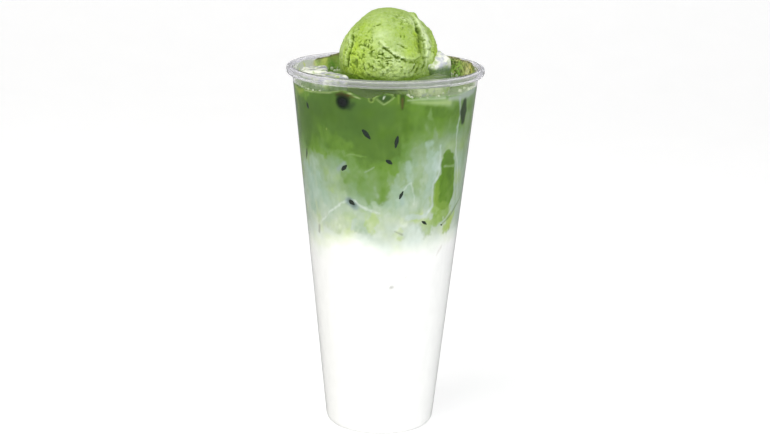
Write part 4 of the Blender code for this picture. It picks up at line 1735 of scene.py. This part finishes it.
ICE_BLOCKS = (
    IceBlock("ice_left", (-33.4, 0.2, 167.4), (13.5, 15.0, 17.0), (3.0, -5.0, 2.0), 0.82, 2.2, 101),
    IceBlock("ice_front_left", (-26.2, -20.6, 167.8), (14.0, 19.0, 17.0), (-2.0, -4.0, 29.0), 0.8, 2.2,
             102),
    IceBlock("ice_front_right", (20.4, -27.9, 169.2), (10.0, 21.5, 15.0), (7.0, 3.0, -46.0), 0.84, 1.8, 103,
             173.4, 174.6, Ice("veiled_ice", clearness=0.2, clear=(150, 176, 100), cloud=(198, 210, 164),
                               shade=(170, 182, 160), wet=(80, 108, 46))),
    IceBlock("ice_right", (24.6, -4.6, 175.9), (11.6, 9.0, 17.0), (27.7, -26.2, 33.4), 1.0, 1.2, 104,
             180.0, 177.6, Ice("grey_ice", clearness=0.15, clear=(196, 214, 160), shade=(206, 208, 220),
                               wet=(92, 126, 54))),
)


# ------------ Bits in the drink ------------


@dataclass(frozen=True)
class Fleck:
    """A bit of leaf against the wall: its two ends as (azimuth, height), and its width."""

    start: Span
    end: Span
    width: float
    bow: float = 0.4


FLECKS = (
    Fleck((-58.4, 163.6), (-56.4, 160.2), 2.0),
    Fleck((-14.6, 154.4), (-8.4, 149.4), 2.4, 0.7),
    Fleck((8.8, 152.0), (7.2, 145.2), 2.0, 0.5),
    Fleck((1.2, 140.0), (6.0, 137.8), 2.2),
    Fleck((-29.6, 133.2), (-25.0, 136.6), 2.0),
    Fleck((11.4, 120.6), (14.2, 125.0), 1.4),
    Fleck((-24.8, 119.5), (-20.2, 117.1), 2.2),
    Fleck((29.4, 109.4), (34.6, 107.2), 1.4),
    Fleck((48.0, 106.0), (50.4, 105.4), 0.9),
    Fleck((-64.0, 140.4), (-65.6, 135.6), 0.9),
    Fleck((118.0, 151.0), (124.0, 147.0), 1.7),
    Fleck((163.0, 140.0), (160.0, 134.0), 1.5),
    Fleck((201.0, 156.0), (206.0, 151.6), 1.8),
    Fleck((232.0, 128.0), (237.0, 131.0), 1.5),
    Fleck((255.0, 146.0), (252.0, 141.0), 1.3),
    Fleck((141.0, 118.0), (146.0, 116.0), 1.4),
)


@dataclass(frozen=True)
class Leaves:
    """All the bits of tea leaf, modelled once as a bowed sliver and copied."""

    form: CupForm
    depth: float = 0.22  # half of their thickness
    rise: float = 0.10  # how far they reach into the wall
    groove: float = 0.12

    def sliver(self) -> Piece:
        """Makes one sliver, a unit long on X and a unit wide on Y."""
        deselect_all()
        bpy.ops.mesh.primitive_uv_sphere_add(segments=16, ring_count=12, radius=0.5)
        made = new_piece("sliver")
        to_edit(made)
        bpy.ops.mesh.select_all(action="SELECT")
        bpy.ops.transform.rotate(value=math.pi / 2, orient_axis="Y", center_override=(0.0, 0.0, 0.0))
        to_object()
        places = vertices_of(made) * MM
        taper = 1.0 - 0.35 * smooth(np.abs(places[:, 0]) / 0.5)
        places[:, 1] *= taper * (1.0 - 0.25 * places[:, 0])
        # A groove along its upper face stands for the vein
        places[:, 2] -= self.groove * bell(places[:, 1] / self.groove) * (places[:, 2] > 0.0)
        move_vertices(made, places / MM)
        return made

    def build(self) -> Piece:
        """Makes all the bits, joined into one piece, and returns it."""
        pattern = self.sliver()
        unit = vertices_of(pattern) * MM
        forms = [self.place(unit.copy(), fleck, index) for index, fleck in enumerate(FLECKS)]
        leaves = copies("tea_leaf_bits", pattern, forms)
        shade(leaves, 50.0)
        Leaf().dress(leaves)
        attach(leaves, BODY)
        return leaves

    def place(self, unit: Array, fleck: Fleck, index: int) -> Array:
        """Wraps a sliver on the wall.

        Args:
            unit: The sliver's vertices.
            fleck: Where it lies.
            index: Its number, which gives it its own shape.

        Returns:
            Its vertices on the wall, in millimetres.
        """
        start = np.array(fleck.start)
        end = np.array(fleck.end)
        middle = (start + end) / 2.0
        radius = self.form.inside(middle[1])
        run = np.array([math.radians(end[0] - start[0]) * radius, end[1] - start[1]])
        length = float(np.linalg.norm(run))
        along = run / length
        across = np.array([-along[1], along[0]])
        unit[:, 1] += fleck.bow / fleck.width * (0.25 - unit[:, 0] ** 2)
        ragged = noise(unit * 3.0 + 5.0 * index, 1.0, 41 + index, 2)
        breadth = unit[:, 1:2] * fleck.width * (1.0 + 0.3 * ragged[:, None])
        flat = unit[:, :1] * length * along + breadth * across
        turn = middle[0] + np.degrees(flat[:, 0] / radius)
        height = middle[1] + flat[:, 1]
        reach = self.form.inside(height, self.rise) + unit[:, 2] * self.depth * 2.0
        places = direction(turn, 0.0) * reach[:, None]
        places[:, 2] = height
        return places


@dataclass(frozen=True)
class Pearl:
    """A dark round pearl that is pressed against the wall near the top."""

    form: CupForm
    azimuth: float = -26.6
    height: float = 166.8
    radius: float = 2.8
    sink: float = 0.55  # how far it reaches into the wall
    squash: float = 0.5
    back: float = 0.9  # how far inside the wall its middle is
    dents: float = 0.12

    def build(self) -> Piece:
        """Makes the pearl and returns it."""
        deselect_all()
        bpy.ops.mesh.primitive_ico_sphere_add(subdivisions=4, radius=self.radius * MM)
        pearl = new_piece("dark_pearl")
        places = vertices_of(pearl)
        places += self.dents * places / self.radius * noise(places, 3.0, 61, 2)[:, None]
        out = direction(self.azimuth, 0.0)
        side = direction(self.azimuth + 90.0, 0.0)
        up = np.array([0.0, 0.0, 1.0])
        wall = self.form.inside(self.height)
        depth = places[:, 1] * self.squash + wall - self.back
        depth = np.minimum(depth, wall + self.sink - 0.02 * np.hypot(places[:, 0], places[:, 2]))
        swung = out * depth[:, None] + side * places[:, :1] + up * (self.height + places[:, 2:])
        most = self.form.inside(swung[:, 2], self.sink)
        swung[:, :2] *= np.minimum(1.0, most / radii(swung))[:, None]
        move_vertices(pearl, swung)
        shade(pearl, 60.0)
        Leaf("pearl_skin", (6, 12, 14), (14, 22, 20)).dress(pearl)
        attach(pearl, BODY)
        return pearl


@dataclass(frozen=True)
class Bubbles:
    """Foam along the drink's edge: one bubble, modelled once and copied."""

    form: CupForm
    drink: Drink
    seed: int = 8
    smallest: float = 0.3
    bigger: float = 1.7  # how much wider than the smallest one the largest is
    furthest: float = 5.0  # how far from the wall they float
    # Where the foam is thick: azimuth from, azimuth to, how many
    banks: Path = ((13, 18, 6), (22, 58, 6), (58, 90, 10), (-70, -44, 4), (95, 175, 40), (180, 262, 40))

    def build(self) -> Piece:
        """Makes the foam as one piece and returns it."""
        deselect_all()
        bpy.ops.mesh.primitive_ico_sphere_add(subdivisions=2, radius=0.5 * MM)
        pattern = new_piece("bubble")
        unit = vertices_of(pattern)
        dice = np.random.default_rng(self.seed)
        forms = []
        for low, high, count in self.banks:
            for _ in range(int(count)):
                azimuth = dice.uniform(low, high)
                size = dice.uniform(0.5, 1.0) ** 2 * self.bigger + self.smallest
                off = self.furthest * dice.uniform(0.0, 1.0) ** 3
                forms.append(self.place(unit, azimuth, size, off))
        foam = copies("edge_foam", pattern, forms)
        shade(foam, 180.0)
        Froth().dress(foam)
        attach(foam, BODY)
        return foam

    def place(self, unit: Array, azimuth: float, size: float, off: float) -> Array:
        """Moves a bubble to the drink's edge.

        Args:
            unit: The vertices of a bubble that is 1 mm wide.
            azimuth: Where along the edge.
            size: Its diameter.
            off: How far it floats from the wall.

        Returns:
            Its vertices there, in millimetres.
        """
        turn = (azimuth + 180.0) % 360.0 - 180.0
        level = float(self.drink.edge(np.array([turn]))[0])
        level += (self.drink.surface - level) * min(1.0, off / 1.2) + 0.15 * size
        radius = self.form.inside(level) - off - size / 2.0
        places = unit * size + direction(azimuth, 0.0) * radius
        places[:, 2] += level
        return places


@dataclass(frozen=True)
class Daub:
    """A soft patch of colour in the film on the wall."""

    azimuth: float
    height: float
    reach: float
    colour: Colour
    strength: float = 0.9


DAUBS = (
    # On the right, from the side to the back
    Daub(98, 172.0, 3.5, (120, 150, 78)), Daub(108, 174.0, 4.0, (154, 148, 88)),
    Daub(114, 173.0, 3.4, (200, 180, 146)),
    Daub(118, 176.6, 2.6, (96, 104, 66)), Daub(122, 174.4, 3.4, (172, 158, 112)),
    Daub(127, 176.6, 2.4, (184, 176, 118)),
    Daub(131, 174.5, 2.2, (74, 96, 40)), Daub(124, 171.4, 4.2, (98, 132, 60)),
    Daub(136, 176.4, 3.0, (82, 104, 44)),
    # Behind the scoop
    Daub(150, 174.0, 7.0, (104, 128, 58)), Daub(170, 173.0, 8.0, (120, 148, 72)),
    Daub(190, 174.0, 8.0, (98, 120, 56)),
    # On the left
    Daub(208, 176.4, 5.0, (78, 74, 48), 1.0), Daub(210, 172.5, 3.6, (96, 132, 58)),
    Daub(217, 174.6, 3.2, (122, 130, 72)),
    Daub(218, 171.4, 2.8, (64, 98, 34)), Daub(224, 175.6, 2.8, (146, 152, 90)),
    Daub(229, 176.0, 1.8, (92, 102, 62)),
    # The cream film here is painted near white, brighter than its own colour, as painted light for the dim
    # inside of the wall
    Daub(252, 174.0, 15.0, (252, 250, 244), 1.0), Daub(240, 172.0, 4.0, (244, 244, 226)),
    Daub(242, 174.0, 2.2, (232, 236, 204)), Daub(246, 174.0, 1.5, (130, 150, 80)),
    Daub(249.5, 174.0, 1.6, (236, 238, 210)), Daub(253, 173.6, 1.3, (130, 148, 80)),
    Daub(257, 173.0, 2.2, (226, 230, 206)),
    Daub(264, 171.6, 2.4, (176, 190, 130)),
)


@dataclass(frozen=True)
class WallFilm:
    """A film of tea and froth that clings to the inside of the wall above the drink."""

    form: CupForm
    name: str = "tea_film_on_wall"
    low: float = 168.9
    # The film's upper edge, by azimuth
    shore: Path = (
        (90, 169.6), (95, 172.6), (99, 174.8), (104, 176.6), (112, 177.7), (140, 177.9), (170, 177.5),
        (208, 177.8), (218, 177.1), (229, 176.4), (236, 175.9), (245, 177.0), (254, 176.2), (262, 174.0),
        (268, 171.6), (274, 169.4),
    )
    base: Colour = (112, 134, 62)
    brink: Colour = (74, 70, 52)
    seed: int = 5
    columns: int = 420
    rows: int = 36
    thickness: float = 0.16
    sink: float = 0.05  # how far it reaches into the wall
    brim: float = 0.03  # how far below the cup's top it stops
    left: float = 232.0  # the azimuth past which it is milky
    # Painted light: the film's paint is drawn this much brighter, up to the brightest, since little light
    # reaches the inside of the wall
    gain: float = 2.4
    brightest: float = 0.88

    def build(self) -> Piece:
        """Makes the film and returns it."""
        deselect_all()
        bpy.ops.mesh.primitive_grid_add(x_subdivisions=self.columns, y_subdivisions=self.rows, size=1.0)
        film = new_piece(self.name)
        unit = vertices_of(film) * MM + 0.5
        start, end = self.shore[0][0], self.shore[-1][0]
        turn = start + unit[:, 0] * (end - start)
        rim = np.outer(turn, (0.7, 0.0, 0.0))
        top = read_line(self.shore, turn) + 0.3 * noise(rim, 2.2, self.seed, 3)
        height = self.low + unit[:, 1] * (np.minimum(top, self.form.height - self.brim) - self.low)
        places = direction(turn, 0.0) * (self.form.inner_face(height) + self.sink)[:, None]
        places[:, 2] = height
        move_vertices(film, places)
        face_outwards(film)
        modify(film, "SOLIDIFY", thickness=self.thickness * MM, offset=-1.0)
        # The thickness was added outwards, so the film moves in by as much
        full = vertices_of(film)
        full[:, :2] *= (1.0 - self.thickness / radii(full))[:, None]
        move_vertices(film, full)
        self.paint(film)
        face_outwards(film)
        shade(film, 50.0)
        Film().dress(film)
        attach(film, BODY)
        return film

    def paint(self, film: Piece) -> None:
        """Paints the film, patch by patch, brightened as painted light.

        Args:
            film: The film, which is marked.
        """
        places = vertices_of(film)
        turn = azimuths(places) % 360.0
        shift = noises(places, 2.0, (self.seed + 3, self.seed + 4), 3)
        colour = np.tile(np.array(self.base, float), (len(places), 1))
        for daub in DAUBS:
            across = np.radians(turn - daub.azimuth) * self.form.rim_radius + 1.1 * shift[:, 0]
            up = (places[:, 2] - daub.height + 0.8 * shift[:, 1]) * 0.6
            colour = tint(colour, daub.colour, daub.strength * bell(np.hypot(across, up) / daub.reach))
        shore = np.minimum(read_line(self.shore, turn), self.form.height - self.brim)
        brink = smooth((places[:, 2] - shore + 1.1) / 0.9) * (turn < self.left)
        colour = tint(colour, self.brink, 0.75 * brink)
        # Brightened as painted light, for the dim inside of the wall
        mark(film, "paint", np.minimum(linear(colour) * self.gain, self.brightest))
        right = 1.0 - ramp(turn, 150.0, 40.0)
        froth = 0.25 + 0.6 * right - 0.23 * ramp(turn, self.left, 8.0)
        mark(film, "froth", np.clip(froth, 0.0, 1.0))


# ------------ Set and light ------------


@dataclass(frozen=True)
class Lamp:
    """A large soft panel that looks at a point on the drink."""

    name: str
    azimuth: float
    elevation: float
    distance: float
    size: Span
    power: float
    colour: Colour = (255, 255, 255)
    mirrored: bool = True
    aim: tuple[float, float, float] = (0.0, 0.0, 110.0)

    def build(self) -> None:
        """Hangs the panel."""
        light = bpy.data.lights.new(self.name, "AREA")
        light.shape = "RECTANGLE"
        light.size = self.size[0] * MM
        light.size_y = self.size[1] * MM
        light.energy = self.power
        light.color = ink(self.colour)[:3]
        lamp = bpy.data.objects.new(self.name, light)
        bpy.context.scene.collection.objects.link(lamp)
        away = Vector(direction(self.azimuth, self.elevation))
        lamp.location = (Vector(self.aim) + away * self.distance) * MM
        lamp.rotation_euler = away.to_track_quat("Z", "Y").to_euler()
        lamp.visible_glossy = self.mirrored
        lamp.visible_transmission = self.mirrored


LAMPS = (
    Lamp("key_panel", -38, 48, 1300, (1100, 1100), 11.0, (255, 252, 246)),
    Lamp("front_panel", 30, 13, 1500, (1300, 1100), 9.5, (250, 252, 255), False),
    Lamp("top_panel", -10, 84, 1100, (900, 700), 3.2),
)


@dataclass(frozen=True)
class Stage:
    """The pale sweep, the lamps, the air's light and the camera."""

    width: float = 2600.0
    depth: float = 900.0
    rise: float = 1500.0
    bend: float = 500.0
    bend_steps: int = 12
    air: float = 0.30
    air_colour: tuple[float, float, float, float] = (0.97, 0.985, 1.0, 1.0)
    target: tuple[float, float, float] = (1.11, 0.0, 101.91)
    tilt: float = 13.21
    roll: float = 1.05
    distance: float = 1000.0
    lens: float = 96.04
    sensor: float = 36.0

    def build(self) -> None:
        """Makes everything round the object."""
        self.sweep()
        for lamp in LAMPS:
            lamp.build()
        self.camera()
        scene = bpy.context.scene
        world = bpy.data.worlds.new("studio_air")
        world.use_nodes = True
        board = Board(world.node_tree)
        nodes = world.node_tree.nodes
        air = board.fill(nodes["Background"], {"Color": self.air_colour, "Strength": self.air})
        # Where the sweep ends, plain white paper stands behind the object
        paper = board.node("Background", {"Color": WHITE})
        seen = board.node("LightPath").outputs["Is Camera Ray"]
        shown = board.node("MixShader", {0: seen, 1: air.outputs[0], 2: paper.outputs[0]})
        board.fill(nodes["World Output"], {0: shown.outputs[0]})
        scene.world = world
        scene.view_settings.view_transform = "Standard"
        scene.view_settings.look = "None"

    def sweep(self) -> None:
        """Makes the floor and the backdrop in one bent sheet."""
        deselect_all()
        bpy.ops.mesh.primitive_plane_add(size=1.0)
        sheet = new_piece("sweep")
        sheet.scale = (self.width * MM, 2.0 * self.depth * MM, 1.0)
        settle(sheet)
        first, second = edge_ends(sheet)
        pick(sheet, "EDGE", np.minimum(first[:, 1], second[:, 1]) > self.depth - 1.0)
        for step in range(self.bend_steps):
            low = math.pi / 2 * step / self.bend_steps
            high = math.pi / 2 * (step + 1) / self.bend_steps
            move = (0.0, self.bend * MM * (math.sin(high) - math.sin(low)),
                    self.bend * MM * (math.cos(low) - math.cos(high)))
            bpy.ops.mesh.extrude_region_move(TRANSFORM_OT_translate={"value": move})
        bpy.ops.mesh.extrude_region_move(TRANSFORM_OT_translate={"value": (0.0, 0.0, self.rise * MM)})
        to_object()
        shade(sheet, 60.0)
        Paper().dress(sheet)
        sheet.visible_glossy = False

    def camera(self) -> None:
        """Sets up the camera."""
        lean = math.radians(self.tilt)
        turn = math.radians(self.roll)
        back = Vector((0.0, -math.cos(lean), math.sin(lean)))
        right = Vector((1.0, 0.0, 0.0))
        up = back.cross(right)
        across = right * math.cos(turn) + up * math.sin(turn)
        above = up * math.cos(turn) - right * math.sin(turn)
        place = Matrix((across, above, back)).transposed().to_4x4()
        place.translation = (Vector(self.target) + back * self.distance) * MM
        lens = bpy.data.cameras.new("camera")
        lens.lens = self.lens
        lens.sensor_width = self.sensor
        holder = bpy.data.objects.new("camera", lens)
        bpy.context.scene.collection.objects.link(holder)
        holder.matrix_world = place
        bpy.context.scene.camera = holder


def main() -> None:
    """Builds the drink in order, and the stage round it."""
    logging.basicConfig(level=logging.INFO, format="%(message)s")
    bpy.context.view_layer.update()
    form = CupForm()
    drink = Drink(form, Palette(form))
    steps: list[Callable[[], Piece]] = [
        Cup(form).build,
        drink.build_milk,
        drink.build_tea,
        Scoop().build,
        *[block.build for block in ICE_BLOCKS],
        Leaves(form).build,
        Pearl(form).build,
        Bubbles(form, drink).build,
        WallFilm(form).build,
    ]
    for step in steps:
        piece = step()
        LOG.info("made %s with %d faces", piece.name, len(piece.data.polygons))
    Stage().build()


if __name__ == "__main__":
    main()
